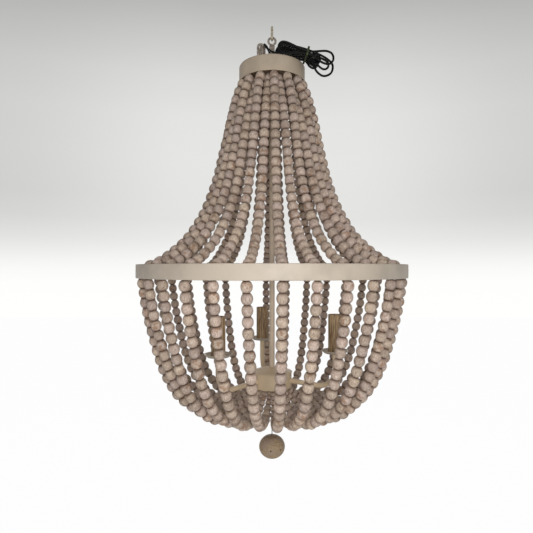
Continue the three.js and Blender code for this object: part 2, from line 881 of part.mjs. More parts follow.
function hankPoints() {
  const places = [hankPlace(hank_first_at, hank_rest, 0)];
  for (let plane = 0; plane < hank_planes; plane += 1) {
    const lower_row = tie_rise - (plane % 2 ? 0 : hank_row_pitch);
    if (plane > 0) places.push(...leftFold(plane));
    places.push(hankPlace(tie_at, lower_row, plane));
    if (plane < hank_planes - 1) {
      places.push(...rightFold(plane));
      places.push(hankPlace(tie_at, lower_row + hank_row_pitch, plane));
    } else {
      places.push(hankPlace(hank_last_at, lower_row - hank_last_drop, plane));
    }
  }
  const first = new THREE.Vector3().subVectors(places[0], places[1]).setLength(cord_diameter);
  const curve = new THREE.CatmullRomCurve3(places, false, 'centripetal');
  const points = curve.getPoints((places.length - 1) * hank_steps_between_points);
  return [first.add(places[0]), ...points];
}

// The least gap between two stretches of the hank that are not neighbours along it
function leastGap(points) {
  const apart_steps = fold_steps * hank_steps_between_points;
  let least = Infinity;
  for (let i = 0; i < points.length; i += 1) {
    for (let j = i + apart_steps; j < points.length; j += 1) {
      least = Math.min(least, points[i].distanceTo(points[j]));
    }
  }
  return least - cord_diameter;
}

function addCord() {
  const bush_top = crown_top + clearance + bush_flange_height;
  const bush_bottom = crown_top - crown_wall - bush_below_crown;
  const bore = cord_diameter / 2 + bush_bore_clearance;
  const bush = revolve(
    [
      [bore, bush_bottom],
      [bush_body_diameter / 2, bush_bottom],
      [bush_body_diameter / 2, crown_top + clearance],
      [bush_flange_diameter / 2, crown_top + clearance],
      [bush_flange_diameter / 2, bush_top],
      [bore, bush_top],
      [bore, bush_bottom],
    ],
    rod_facets,
  );
  bush.translate(bush_x, bush_y, 0);
  add('cord_bush', bush, black_plastic);

  const points = hankPoints();
  console.log('least gap of the hank to itself, mm:', leastGap(points).toFixed(2));
  add('cord_hank', tubeAlong(points, cord_diameter / 2, hank_sides), black_plastic);

  const into = new THREE.Vector3().subVectors(points[1], points[0]).normalize();
  const end = points[0].clone().addScaledVector(into, -clearance);
  const before_end = end.clone().addScaledVector(into, -cord_diameter);
  const inside = new THREE.Vector3(bush_x, bush_y, bush_bottom);
  const lead = lead_points.map((point) => new THREE.Vector3(...point));
  const route = [inside, ...lead, before_end, end];
  const curve = new THREE.CatmullRomCurve3(route, false, 'centripetal');
  const steps = Math.round(curve.getLength() / (2 * cord_diameter));
  const supply = tubeAlong(curve.getSpacedPoints(steps), cord_diameter / 2, wire_facets);
  add('supply_cord', supply, black_plastic);

  addTie();
}

// The tie: a flat band round the hank's three rows
function addTie() {
  const waist = hank_row_pitch + cord_diameter / 2 + tie_clearance;
  const across = ((hank_planes - 1) * hank_plane_pitch + cord_diameter) / 2 + tie_clearance;
  const band = (half_width, half_height) => {
    const corner = cord_diameter / 2;
    const shape = new THREE.Path();
    shape.moveTo(half_width, half_height - corner);
    shape.lineTo(half_width - corner, half_height);
    shape.lineTo(corner - half_width, half_height);
    shape.lineTo(-half_width, half_height - corner);
    shape.lineTo(-half_width, corner - half_height);
    shape.lineTo(corner - half_width, -half_height);
    shape.lineTo(half_width - corner, -half_height);
    shape.lineTo(half_width, corner - half_height);
    return shape.getPoints();
  };
  const outline = new THREE.Shape(band(across + tie_thickness, waist + tie_thickness));
  outline.holes.push(new THREE.Path(band(across, waist)));
  const tie = new THREE.ExtrudeGeometry(outline, { depth: tie_width, bevelEnabled: false });
  tie.translate(0, 0, -tie_width / 2);
  tie.rotateX(Math.PI / 2);
  tie.rotateZ(Math.PI / 2);
  tie.rotateY(radians(tie_tilt));
  tie.rotateZ(radians(hank_turn));
  const place = hankPlace(tie_at, tie_rise, (hank_planes - 1) / 2);
  tie.translate(place.x, place.y, place.z);
  add('cord_tie', tie, tie_plastic);
}

addHanger();
addStem();
addCrown();
addRing();
addHub();
for (let i = 0; i < strand_count; i += 1) addStrand(i);
for (let i = 0; i < arm_count; i += 1) addCandle(i);
addFinial();
addSpareLinks();
addCord();

export default group;
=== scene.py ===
from math import asin, atan2, cos, hypot, pi, radians, sin, sqrt

import bmesh
import bpy
import numpy as np
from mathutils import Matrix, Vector


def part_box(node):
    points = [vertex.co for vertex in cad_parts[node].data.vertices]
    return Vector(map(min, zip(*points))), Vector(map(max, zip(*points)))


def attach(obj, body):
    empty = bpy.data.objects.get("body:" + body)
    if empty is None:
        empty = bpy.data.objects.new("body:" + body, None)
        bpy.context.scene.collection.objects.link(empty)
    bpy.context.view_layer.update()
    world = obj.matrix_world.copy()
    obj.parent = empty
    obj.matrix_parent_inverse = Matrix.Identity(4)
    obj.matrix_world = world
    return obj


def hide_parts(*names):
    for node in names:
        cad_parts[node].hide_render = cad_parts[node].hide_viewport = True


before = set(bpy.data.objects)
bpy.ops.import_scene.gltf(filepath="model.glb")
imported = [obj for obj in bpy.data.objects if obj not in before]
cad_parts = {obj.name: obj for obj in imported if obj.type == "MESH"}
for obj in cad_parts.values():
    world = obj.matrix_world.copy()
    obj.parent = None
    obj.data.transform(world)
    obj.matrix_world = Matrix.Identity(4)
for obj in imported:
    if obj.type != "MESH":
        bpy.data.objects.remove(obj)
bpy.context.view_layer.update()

MM = 0.001
rng = np.random.default_rng(20)

# The photograph's frame and the camera's place
PHOTO_SIDE = 533
FOCAL_PIXELS = 457.8
AXIS_X_PIXEL = 272
HORIZON_Y_PIXEL = 269
CAMERA_DISTANCE = 889
CAMERA_HEIGHT = -466
SENSOR_WIDTH = 36


def low(node):
    """Lowest corner of a CAD node, in millimetres."""
    return np.array(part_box(node)[0]) / MM


def high(node):
    """Highest corner of a CAD node, in millimetres."""
    return np.array(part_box(node)[1]) / MM


# Heights and sizes that the frame gives
CROWN_TOP = high("crown_pan")[2]
CROWN_BOTTOM = low("crown_pan")[2]
CROWN_RADIUS = high("crown_pan")[0]
PLATE_TOP = high("crown_strand_plate")[2]
PLATE_BOTTOM = low("crown_strand_plate")[2]
RING_EDGE_BEAD = 1
RING_TOP = high("mid_ring")[2] + RING_EDGE_BEAD
RING_BOTTOM = low("mid_ring")[2] - RING_EDGE_BEAD
RING_RADIUS = high("mid_ring")[0]
HUB_TOP = high("hub_cup")[2]
HUB_HEIGHT = 28
HUB_BOTTOM = HUB_TOP - HUB_HEIGHT
STEM_TOP = high("centre_stem")[2]
STEM_BOTTOM = low("centre_stem")[2]
CLEARANCE = 0.3

# Crown and its strand plate
CROWN_WALL = 2
CROWN_ROUND = 2.4
CROWN_TOP_ROUND = 3.4
PLATE_OPENING = 64
CROWN_OUTER_ROW = 56.5
CROWN_INNER_ROW = 42

# Middle ring and spider
RING_WALL = 2.2
RING_ROUND = 1.6
RING_INNER_ROUND = 1
FLANGE_WIDTH = 15.6
FLANGE_THICKNESS = 2
RING_ROW = RING_RADIUS - RING_WALL - FLANGE_WIDTH / 2
SPIDER_BARS = 3
SPIDER_BAR_WIDTH = 12
SPIDER_BAR_THICKNESS = 3
SPIDER_BAR_GAP = 3
SPIDER_BOSS_RADIUS = 12
SPIDER_BOSS_HEIGHT = 12

# Hub
HUB_RADIUS = 38
HUB_WALL = 2
HUB_OUTER_ROW = 32.5
HUB_INNER_ROW = 23.5
COVER_LIP = 1
COVER_RISE = 9.5
COVER_WALL = 1.6
COVER_FLAT = 12
EYE_RADIUS = 3
EYE_DROP = 2.2
EYE_WIRE = 0.8

# Stem
STEM_RADIUS = 5.25
STEM_BORE = 3.8
COLLAR_RADIUS = 11
COLLAR_HEIGHT = 3

# Strands
STRANDS = 30
FIRST_AZIMUTH = 3.5
BEAD_DIAMETER = 17.4
CROWN_BEAD_DIAMETER = 17.3
SMALLEST_BEAD = 9
TAPER_LENGTH = 74
SMALL_RUN = 8
# Painted light: how much paler the small beads by the hub are made, for the light they miss.
SMALL_BEAD_PAINTED_LIGHT = 1.6
LOWER_BULGE_SHARE = 0.05
UPPER_LENGTH_SHARE = 1.01
LOWER_LENGTH_SHARE = 0.99
BEAD_SIZE_RANGE = (0.975, 1.025)
BEAD_SQUASH_RANGE = (0.985, 1.015)
BEAD_END_SHARE = 0.53
BEAD_EDGE_SHARE = 0.06
BEAD_FILL_SHARE = 0.985
BEAD_SHARP_DEGREES = 60
BORE_SHARE = 0.17
PATTERN_REACH = 400
END_CONE = 3
TWINE_RADIUS = 0.9
HOLE_RADIUS = 1.6
KNOT_HEIGHT = 3
KNOT_SIZE = 1.5
KNOT_TWINE = 0.75
ROW_MERGE_SHARE = 0.38
UPPER_OUT_SHARES = [0.01, 0.067, 0.109, 0.145, 0.209, 0.286, 0.402, 0.58, 0.832, 0.955]
UPPER_DOWN_SHARES = [0.012, 0.081, 0.16, 0.241, 0.406, 0.569, 0.726, 0.869, 0.981, 1.008]
LOWER_IN_SHARES = [0, 0.045, 0.106, 0.183, 0.303, 0.482, 0.711, 0.825, 0.915, 0.985]
LOWER_DOWN_SHARES = [0.03, 0.302, 0.544, 0.786, 1, 1.144, 1.18, 1.147, 1.08, 1.03]

# Candles
CANDLES = 3
FIRST_ARM_AZIMUTH = -50
CANDLE_RADIUS = 124
ARM_RADIUS = 4.75
ARM_START = 24
ARM_DIP = 4
ARM_BEND = 30
ARM_OVERRUN = 5
ARM_Z = HUB_BOTTOM + 14
DISH_RADIUS = 25.5
DISH_FLOOR = 19
DISH_HOLE = 4
DISH_WALL = 1.4
DISH_DEPTH = 6
SOCKET_RADIUS = 10.25
SOCKET_BORE = 7.25
SOCKET_BORE_DEPTH = 26
SLEEVE_RADIUS = 12.75
SLEEVE_WALL = 1.6
SLEEVE_WAVES = 6
SLEEVE_STEPS = 24

# Hanging parts
LINK_WIRE = 4.5
LINK_LENGTH = 28.5
LINK_WIDTH = 17
LINK_STEPS = 24
LOOP_WIRE = 4
LOOP_DIAMETER = 18
NECK_RADIUS = 5.25
STUB_LENGTH = 8
STUB_RADIUS = 3.5
NUT_FLATS = 18
NUT_HEIGHT = 6
SPARE_LINK_TURN = 20
SPARE_LINK_PLACE = (-20.3, -31)

# Cord
CORD_DIAMETER = 4
BUSH_PLACE = (-4, -24)
BUSH_BODY_RADIUS = 4.2
BUSH_FLANGE_RADIUS = 6
BUSH_FLANGE_HEIGHT = 2.5
BUSH_FLANGE_EDGE = 1.2
BUSH_TOP_WIDTH = 1.6
BUSH_BORE_GAP = 0.05
BUSH_BELOW = 3
LEAD_POINTS = [
    (-4, -24, -69),
    (-5, -27, -59),
    (-9.5, -33.5, -51.5),
    (-13.5, -41, -50.5),
    (-13.5, -48.5, -55),
    (-8, -54, -64),
    (1, -56.8, -71.5),
]
LEAD_STEPS = 12

# Hank: one loop in each plane, drawn together in three rows at the tie. A left fold is its
# end, lift and radius, a right fold its end, rise and radius.
HANK_START = (9, -41)
HANK_TURN = 6.3
HANK_PLANES = 8
HANK_PLANE_PITCH = CORD_DIAMETER + 0.8
HANK_ROW_PITCH = CORD_DIAMETER + 0.9
HANK_REST = CORD_DIAMETER / 2 + 0.5
HANK_FIRST = 12
HANK_LAST = 76
HANK_LAST_DROP = 4
LEFT_FOLD_OPENING = 22
LEFT_FOLDS = [
    (1.4, 4.4, 8.8),
    (2.9, 1.8, 8.6),
    (5.2, 1.3, 9.8),
    (2.1, 3, 11.8),
    (-0.9, 0.3, 11.6),
    (2.8, 5, 8.6),
    (3.5, 2.6, 9.1),
]
RIGHT_FOLDS = [
    (103, -1.2, 12),
    (103, -16.7, 16.5),
    (80, -0.5, 8.5),
    (97, -8, 8.5),
    (79, -0.5, 8.5),
    (81, 3.5, 8.5),
    (79, -0.5, 8.5),
]
FOLD_STEPS = 4
HANK_STEPS_BETWEEN = 7
TIE_AT = 55
TIE_RISE = 9
TIE_TILT = 15
TIE_WIDTH = 3.5
TIE_THICKNESS = 1.2
TIE_GAP = 0.7
TIE_CORNER_STEPS = 6

# Finial
FINIAL_RADIUS = 25
FINIAL_BORE_DEPTH = 8
FINIAL_STEPS = 36
FINIAL_HOLES = 8
FINIAL_HOLE_RADIUS = 1.5
FINIAL_HOLE_DEPTH = 4
FIRST_FINIAL_HOLE = -5

# Edges and cutters
SMALL_CHAMFER = 0.4
CHAMFER = 0.6
LARGE_CHAMFER = 0.8
SHARP_DEGREES = 38
CUT_OVERRUN = 5
ON_AXIS = 1e-6

# Stage: the backdrop's grey levels by height, and each lamp's place, aim, side and power
FLOOR_HEIGHT = -1300
FLOOR_SIDE = 14000
FLOOR_COLOUR = (0.8, 0.8, 0.8, 1)
FLOOR_SEEN = 0.98
WORLD_COLOUR = (1, 0.985, 0.965, 1)
WORLD_STRENGTH = 0.3
BACKDROP = [
    (0.432, 255),
    (0.476, 254),
    (0.52, 247),
    (0.563, 235),
    (0.606, 228),
    (0.732, 230),
    (0.809, 228),
    (0.881, 219),
    (0.947, 202),
    (1.0, 184),
]
LAMP_COLOUR = (1, 0.985, 0.96)
LAMPS = [
    ("front_lamp", (60, -1000, -440), (0, 0, -450), 220, 4.7),
    ("low_lamp", (0, -900, -1050), (0, 0, -650), 450, 1.0),
    ("back_lamp", (0, 1700, 0), (0, 0, -450), 900, 9),
]


def outward(azimuth):
    return np.array([sin(radians(azimuth)), -cos(radians(azimuth)), 0.0])


def at_radius(azimuth, radius, z):
    point = outward(azimuth) * radius
    point[2] = z
    return point


def round_angles(count):
    return [2 * pi * k / count for k in range(count)]


def add_object(name, data):
    obj = bpy.data.objects.new(name, data)
    bpy.context.scene.collection.objects.link(obj)
    return obj


def set_camera():
    data = bpy.data.cameras.new("camera")
    data.sensor_width = SENSOR_WIDTH
    data.lens = FOCAL_PIXELS * SENSOR_WIDTH / PHOTO_SIDE
    data.shift_x = (PHOTO_SIDE / 2 - AXIS_X_PIXEL) / PHOTO_SIDE
    data.shift_y = (HORIZON_Y_PIXEL - PHOTO_SIDE / 2) / PHOTO_SIDE
    camera = add_object("camera", data)
    camera.location = (0, -CAMERA_DISTANCE * MM, CAMERA_HEIGHT * MM)
    camera.rotation_euler = (pi / 2, 0, 0)
    bpy.context.scene.camera = camera


def linear(colour):
    """A colour written as it shows, 0 to 255, as linear values."""
    shares = [c / 255 for c in colour]
    return [s / 12.92 if s <= 0.04045 else ((s + 0.055) / 1.055) ** 2.4 for s in shares] + [1.0]


class Nodes:
    """Short calls for a node tree, where a value may be a number or a node's output."""

    def __init__(self, owner):
        owner.use_nodes = True
        self.tree = owner.node_tree

    def feed(self, socket, value):
        if isinstance(value, bpy.types.NodeSocket):
            self.tree.links.new(value, socket)
        else:
            socket.default_value = value

    def node(self, kind, inputs=None, **settings):
        """A new node with its settings and its inputs, by name or number."""
        node = self.tree.nodes.new("ShaderNode" + kind)
        for name, value in settings.items():
            setattr(node, name, value)
        for key, value in (inputs or {}).items():
            self.feed(node.inputs[key], value)
        return node

    def add(self, kind, inputs=None, output=0, **settings):
        """One output of a new node."""
        return self.node(kind, inputs, **settings).outputs[output]

    def math(self, operation, a, b):
        return self.add("Math", {0: a, 1: b}, operation=operation)

    def span(self, value, start, end, first=0.0, last=1.0, kind="SMOOTHSTEP"):
        """A value taken from start..end to first..last and kept within them."""
        inputs = {"Value": value, "From Min": start, "From Max": end, "To Min": first, "To Max": last}
        return self.add("MapRange", inputs, "Result", interpolation_type=kind)

    def split(self, output, most, lit, seen):
        """Shows one surface directly, in gloss and through glass, and is lit as another."""
        path = self.node("LightPath").outputs
        ray = path["Is Camera Ray"]
        for name in ("Is Glossy Ray", "Is Transmission Ray"):
            ray = self.math("MAXIMUM", ray, path[name])
        surface = self.add("MixShader", {0: self.math("MULTIPLY", ray, most), 1: lit, 2: seen})
        self.node(output, {"Surface": surface})


class Look(Nodes):
    """A material with short calls for the nodes used here."""

    def __init__(self, name, roughness, metallic=0.0, specular=0.5):
        self.material = bpy.data.materials.new(name)
        super().__init__(self.material)
        self.shader = self.tree.nodes["Principled BSDF"].inputs
        self.shader["Roughness"].default_value = roughness
        self.shader["Metallic"].default_value = metallic
        self.shader["Specular IOR Level"].default_value = specular

    def place(self):
        """The mesh's own coordinates in millimetres."""
        return self.scaled(self.add("TexCoord", output="Object"), (1 / MM, 1 / MM, 1 / MM))

    def attribute(self, name, kind="Vector"):
        return self.add("Attribute", output=kind, attribute_name=name)

    def scaled(self, vector, scale):
        return self.add("VectorMath", {0: vector, 1: scale}, operation="MULTIPLY")

    def noise(self, vector, scale, detail=3.0, roughness=0.55, distortion=0.0):
        """Noise of one scale, or of one for each axis."""
        if isinstance(scale, tuple):
            vector, scale = self.scaled(vector, scale), 1.0
        inputs = {"Vector": vector, "Scale": scale, "Detail": detail, "Roughness": roughness}
        return self.add("TexNoise", {**inputs, "Distortion": distortion}, "Fac")

    def cells(self, vector, scale):
        return self.add("TexVoronoi", {"Vector": vector, "Scale": scale}, "Distance")

    def mix(self, factor, a, b, blend="MIX"):
        return self.add("Mix", {0: factor, 6: a, 7: b}, 2, data_type="RGBA", blend_type=blend)

    def over(self, colour, value, start, end, shade, most=1.0):
        """The colour with a shade laid over it as a value runs from start to end."""
        return self.mix(self.span(value, start, end, 0, most), colour, linear(shade))

    def grey(self, value):
        return self.add("CombineColor", {0: value, 1: value, 2: value})

    def across(self, vector):
        """How far a place is from the Z axis."""
        flat = self.scaled(vector, (1, 1, 0))
        return self.add("VectorMath", {0: flat}, "Value", operation="LENGTH")

    def finish(self, colour, bump, strength, distance, roughness=None):
        self.feed(self.shader["Base Color"], colour)
        if roughness is not None:
            self.feed(self.shader["Roughness"], roughness)
        inputs = {"Strength": strength, "Distance": distance * MM, "Height": bump}
        self.feed(self.shader["Normal"], self.add("Bump", inputs, "Normal"))
        return self.material


def bead_look():
    """Whitewashed wood: streaks along the bore, pores, a few stains, grime and painted shade at the
    ends, and painted light on the small beads.
    """
    look = Look("whitewashed_wood", roughness=0.75, specular=0.3)
    place = look.attribute("bead_place")
    tint = look.attribute("bead_tint_and_painted_light", "Fac")
    pole = look.attribute("bead_pole", "Fac")
    hue = look.math("PINGPONG", look.math("MULTIPLY", tint, 7), 1)
    stained = look.math("PINGPONG", look.math("MULTIPLY", tint, 11), 1)
    base = look.mix(hue, linear((220, 203, 182)), linear((215, 198, 190)))
    streaks = look.noise(place, (1.1, 1.1, 0.14), detail=4, roughness=0.65)
    clouds = look.noise(place, 0.13)
    pores = look.noise(place, (0.6, 0.6, 0.3), detail=4, roughness=0.7)
    pits = look.cells(place, 0.16)
    colour = look.over(base, streaks, 0.4, 0.66, (168, 146, 131))
    colour = look.over(colour, clouds, 0.4, 0.66, (172, 151, 138), 0.6)
    colour = look.over(colour, pores, 0.54, 0.66, (124, 99, 84), 0.6)
    colour = look.over(colour, pits, 0.13, 0.06, (88, 66, 52), 0.8)
    stain = look.math("MULTIPLY", look.span(clouds, 0.5, 0.6), look.span(stained, 0.66, 0.9))
    colour = look.mix(look.math("MULTIPLY", stain, 0.6), colour, linear((154, 116, 86)))
    # Darker towards the bores: painted shade where the beads meet, with some grime.
    colour = look.over(colour, pole, 0.6, 0.94, (110, 86, 70), 0.6)
    colour = look.over(colour, pole, 0.92, 0.995, (74, 55, 44), 0.8)
    # Random tone from bead to bead, with painted light on the small beads through their tint.
    colour = look.mix(1.0, colour, look.grey(look.span(tint, 0, 1, 0.8, 1.04)), "MULTIPLY")
    grooves = look.math("MULTIPLY", streaks, -0.6)
    height = look.math("SUBTRACT", grooves, look.span(pits, 0.1, 0.05))
    return look.finish(colour, height, 0.35, 0.35)


def twine_look():
    look = Look("twine", roughness=0.9, specular=0.2)
    fibres = look.noise(look.place(), (2.4, 2.4, 1.1))
    colour = look.over(linear((150, 134, 112)), fibres, 0.35, 0.65, (202, 190, 168))
    return look.finish(colour, fibres, 0.6, 0.3)


def paint_look(name, base):
    """Paint with a soft mottle, fine orange peel and a few rubbed spots."""
    look = Look(name, roughness=0.5, specular=0.4)
    place = look.place()
    mottle = look.noise(place, 0.02)
    fine = look.noise(place, 0.9, detail=2)
    rubs = look.noise(look.scaled(place, (1, 1, 2.5)), 0.11, detail=5, roughness=0.7)
    colour = look.over(linear(base), mottle, 0.35, 0.65, [c * 0.93 for c in base])
    colour = look.over(colour, rubs, 0.66, 0.76, [c * 0.76 for c in base], 0.55)
    return look.finish(colour, fine, 0.12, 0.2, look.span(fine, 0.3, 0.7, 0.42, 0.6))


def metal_look(name, light, dark):
    look = Look(name, roughness=0.45, metallic=0.4)
    place = look.place()
    patches = look.noise(place, 0.25, detail=4)
    fine = look.noise(place, 1.8, detail=2)
    colour = look.over(linear(light), patches, 0.38, 0.62, dark)
    return look.finish(colour, fine, 0.2, 0.2, look.span(patches, 0.3, 0.7, 0.35, 0.62))


def sleeve_look():
    """Brown candle sleeves with streaks that run down them."""
    look = Look("sleeve_wood", roughness=0.55, specular=0.4)
    place = look.place()
    streaks = look.noise(place, (0.5, 0.5, 0.03), detail=4, roughness=0.6)
    thin = look.noise(place, (1.6, 1.6, 0.07), detail=2)
    blots = look.noise(place, (0.12, 0.12, 0.07), detail=2)
    colour = look.over(linear((188, 160, 124)), streaks, 0.38, 0.62, (116, 90, 64))
    colour = look.over(colour, thin, 0.56, 0.68, (72, 54, 38), 0.75)
    colour = look.over(colour, blots, 0.5, 0.66, (136, 116, 80), 0.5)
    return look.finish(colour, look.math("ADD", streaks, thin), 0.35, 0.4)


def finial_look():
    """Stained wood, darker at the top, with painted shade inside the holes round its middle."""
    look = Look("dark_wood", roughness=0.6, specular=0.35)
    place = look.place()
    grain = look.noise(place, (0.25, 0.25, 1.1), detail=4, distortion=0.6)
    clouds = look.noise(place, 0.05)
    specks = look.cells(place, 0.28)
    colour = look.over(linear((176, 155, 126)), grain, 0.35, 0.68, (134, 112, 86))
    colour = look.over(colour, clouds, 0.42, 0.66, (152, 134, 126), 0.6)
    colour = look.over(colour, specks, 0.12, 0.06, (74, 58, 44), 0.75)
    height = look.add("SeparateXYZ", {0: place}, "Z")
    top = high("finial_ball")[2]
    colour = look.over(colour, height, top - 6, top, (92, 76, 62), 0.5)
    # Painted shade: near black inside the holes round the ball's middle.
    inside = look.span(look.across(place), FINIAL_RADIUS - 0.6, FINIAL_RADIUS - 1.4)
    middle = (top + low("finial_ball")[2]) / 2
    near = look.span(look.math("ABSOLUTE", look.math("SUBTRACT", height, middle), 0), 3, 2.5)
    colour = look.mix(look.math("MULTIPLY", inside, near), colour, linear((34, 25, 18)))
    return look.finish(colour, grain, 0.25, 0.3)


def plastic_look(name, colour, second, roughness, specular=0.4):
    look = Look(name, roughness=roughness, specular=specular)
    place = look.place()
    patches = look.noise(place, 0.4)
    fine = look.noise(place, 3.0, detail=2)
    mixed = look.over(linear(colour), patches, 0.35, 0.65, second)
    rough = look.span(fine, 0.3, 0.7, roughness * 0.85, min(roughness * 1.2, 1))
    return look.finish(mixed, fine, 0.15, 0.15, rough)


LOOKS = {
    "bead_wood": bead_look(),
    "twine": twine_look(),
    "cream_paint": paint_look("cream_paint", (196, 184, 169)),
    # Painted shade: the crown takes a slightly darker copy of the cream paint.
    "crown_paint_painted_shade": paint_look("crown_paint_painted_shade", (194, 178, 158)),
    # Painted light: the hub, its lid and arms, and the stem take lighter copies of the cream paint.
    "hub_paint_painted_light": paint_look("hub_paint_painted_light", (230, 208, 176)),
    "stem_paint_painted_light": paint_look("stem_paint_painted_light", (218, 200, 178)),
    # Painted shade: a dark copy of the cream paint on the crown's plate, standing for the shade inside
    # the crown.
    "pan_inside_painted_shade": paint_look("pan_inside_painted_shade", (124, 102, 82)),
    "worn_metal": metal_look("worn_metal", (176, 166, 156), (128, 117, 106)),
    "pale_metal": metal_look("pale_metal", (206, 196, 174), (160, 148, 126)),
    "dark_metal": metal_look("dark_metal", (112, 96, 82), (78, 64, 54)),
    "sleeve_wood": sleeve_look(),
    "dark_wood": finial_look(),
    "ivory_plastic": plastic_look("ivory_plastic", (222, 214, 194), (206, 196, 172), 0.45),
    "black_plastic": plastic_look("black_plastic", (4, 4, 4), (9, 9, 9), 0.5, 0.15),
    "tie_plastic": plastic_look("tie_plastic", (34, 44, 16), (52, 60, 24), 0.5),
}


def smooth(mesh, sharp_degrees=SHARP_DEGREES):
    mesh.shade_smooth()
    mesh.set_sharp_from_angle(angle=radians(sharp_degrees))


def mesh_object(name, shape, look, sharp_degrees=SHARP_DEGREES):
    """A mesh from points in millimetres and faces, smooth but for its sharp edges."""
    vertices, faces = shape
    mesh = bpy.data.meshes.new(name)
    mesh.from_pydata((np.asarray(vertices, float) * MM).tolist(), [], faces)
    smooth(mesh, sharp_degrees)
    mesh.materials.append(LOOKS[look])
    return add_object(name, mesh)


def solid(name, shape, look):
    """A closed piece with its faces turned outwards."""
    obj = mesh_object(name, shape, look)
    work = bmesh.new()
    work.from_mesh(obj.data)
    bmesh.ops.recalc_face_normals(work, faces=work.faces)
    work.to_mesh(obj.data)
    work.free()
    return obj


def settle(obj, nodes=(), body="fixture"):
    """Puts a piece on its body, in the stead of its CAD nodes."""
    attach(obj, body)
    if nodes:
        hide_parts(*nodes)
    return obj


def soften(obj, width, segments=2, degrees=SHARP_DEGREES):
    """Rounds the edges of a piece."""
    bevel = obj.modifiers.new("soften", "BEVEL")
    bevel.width = width * MM
    bevel.segments = segments
    bevel.limit_method = "ANGLE"
    bevel.angle_limit = radians(degrees)
    return obj


def combine(obj, other, operation):
    """Joins or cuts a piece with another, which is used up."""
    modifier = obj.modifiers.new("combine", "BOOLEAN")
    modifier.operation = operation
    modifier.solver = "EXACT"
    modifier.object = other
    bpy.context.view_layer.update()
    evaluated = obj.evaluated_get(bpy.context.evaluated_depsgraph_get())
    mesh = bpy.data.meshes.new_from_object(evaluated)
    obj.modifiers.clear()
    obj.data = mesh
    bpy.data.objects.remove(other)
    smooth(mesh)


def cut(obj, shape, look="cream_paint"):
    combine(obj, solid("cutter", shape, look), "DIFFERENCE")


def revolved(profile, segments, centre=(0, 0), wobble=None):
    """Vertices and faces of a profile of (radius, height) turned about Z. A profile that
    starts and ends off the axis is closed on itself."""
    rings = []
    vertices = []
    for radius, height in profile:
        if radius < ON_AXIS:
            rings.append([len(vertices)])
            vertices.append((*centre, height))
            continue
        rings.append(range(len(vertices), len(vertices) + segments))
        for angle in round_angles(segments):
            reach = radius + (wobble(angle, height, radius) if wobble else 0)
            x, y = centre[0] + reach * cos(angle), centre[1] + reach * sin(angle)
            vertices.append((x, y, height))
    pairs = list(zip(rings, rings[1:]))
    if profile[0][0] > ON_AXIS:
        pairs.append((rings[-1], rings[0]))
    faces = []
    for first, second in pairs:
        for k in range(segments):
            n = (k + 1) % segments
            if len(first) == 1:
                faces.append((first[0], second[n], second[k]))
            elif len(second) == 1:
                faces.append((first[k], first[n], second[0]))
            else:
                faces.append((first[k], first[n], second[n], second[k]))
    return vertices, faces


def lathe(name, profile, segments, look, centre=(0, 0), wobble=None):
    return solid(name, revolved(profile, segments, centre, wobble), look)


def band(inner, outer, bottom, top):
    """The square profile of a ring, or of a disc where inner is 0."""
    return [(inner, bottom), (outer, bottom), (outer, top), (inner, top)]


def bore(obj, radius, bottom, top, segments=48, centre=(0, 0), look="cream_paint"):
    """Drills a hole upright through a piece."""
    profile = band(0, radius, bottom - CUT_OVERRUN, top + CUT_OVERRUN)
    cut(obj, revolved(profile, segments, centre), look)


def drill_rows(obj, radii, bottom, top):
    """Drills the strands' holes through a piece."""
    profile = band(0, HOLE_RADIUS, bottom - CUT_OVERRUN, top + CUT_OVERRUN)
    places = [at_radius(strand_azimuth(i), radii[i % len(radii)], 0) for i in range(STRANDS)]
    cut(obj, joined([revolved(profile, 16, place[:2]) for place in places]))


def spline_points(points, steps=24):
    """Points on the centripetal curve through some points."""
    points = [np.asarray(p, float) for p in points]
    padded = [2 * points[0] - points[1], *points, 2 * points[-1] - points[-2]]
    found = []
    for p0, p1, p2, p3 in zip(padded, padded[1:], padded[2:], padded[3:]):
        d0, d1, d2 = (sqrt(np.linalg.norm(b - a)) for a, b in ((p0, p1), (p1, p2), (p2, p3)))
        m1 = ((p1 - p0) / d0 - (p2 - p0) / (d0 + d1) + (p2 - p1) / d1) * d1
        m2 = ((p2 - p1) / d1 - (p3 - p1) / (d1 + d2) + (p3 - p2) / d2) * d1
        for k in range(steps):
            t = k / steps
            found.append(
                (2 * t**3 - 3 * t**2 + 1) * p1
                + (t**3 - 2 * t**2 + t) * m1
                + (3 * t**2 - 2 * t**3) * p2
                + (t**3 - t**2) * m2
            )
    return np.array([*found, points[-1]])


class Path:
    """A line of points that can be read by length along it."""

    def __init__(self, points):
        self.points = np.asarray(points, float)
        steps = np.linalg.norm(np.diff(self.points, axis=0), axis=1)
        self.at = np.concatenate([[0], np.cumsum(steps)])
        self.length = self.at[-1]

    def point(self, s):
        return np.array([np.interp(s, self.at, values) for values in self.points.T])

    def tangent(self, s, reach=1.0):
        along = self.point(min(s + reach, self.length)) - self.point(max(s - reach, 0))
        return along / np.linalg.norm(along)

    def longer(self, before, after):
        """The path with a straight piece added at each end."""
        first = self.points[0] - self.tangent(0) * before
        last = self.points[-1] + self.tangent(self.length) * after
        return Path(np.vstack([first, self.points, last]))


def ring_faces(count, sides, closed):
    """Faces between rings of points, and from the last ring to the first if closed."""
    faces = []
    for i in range(count if closed else count - 1):
        n = (i + 1) % count
        for j in range(sides):
            k = (j + 1) % sides
            faces.append((i * sides + j, i * sides + k, n * sides + k, n * sides + j))
    return faces


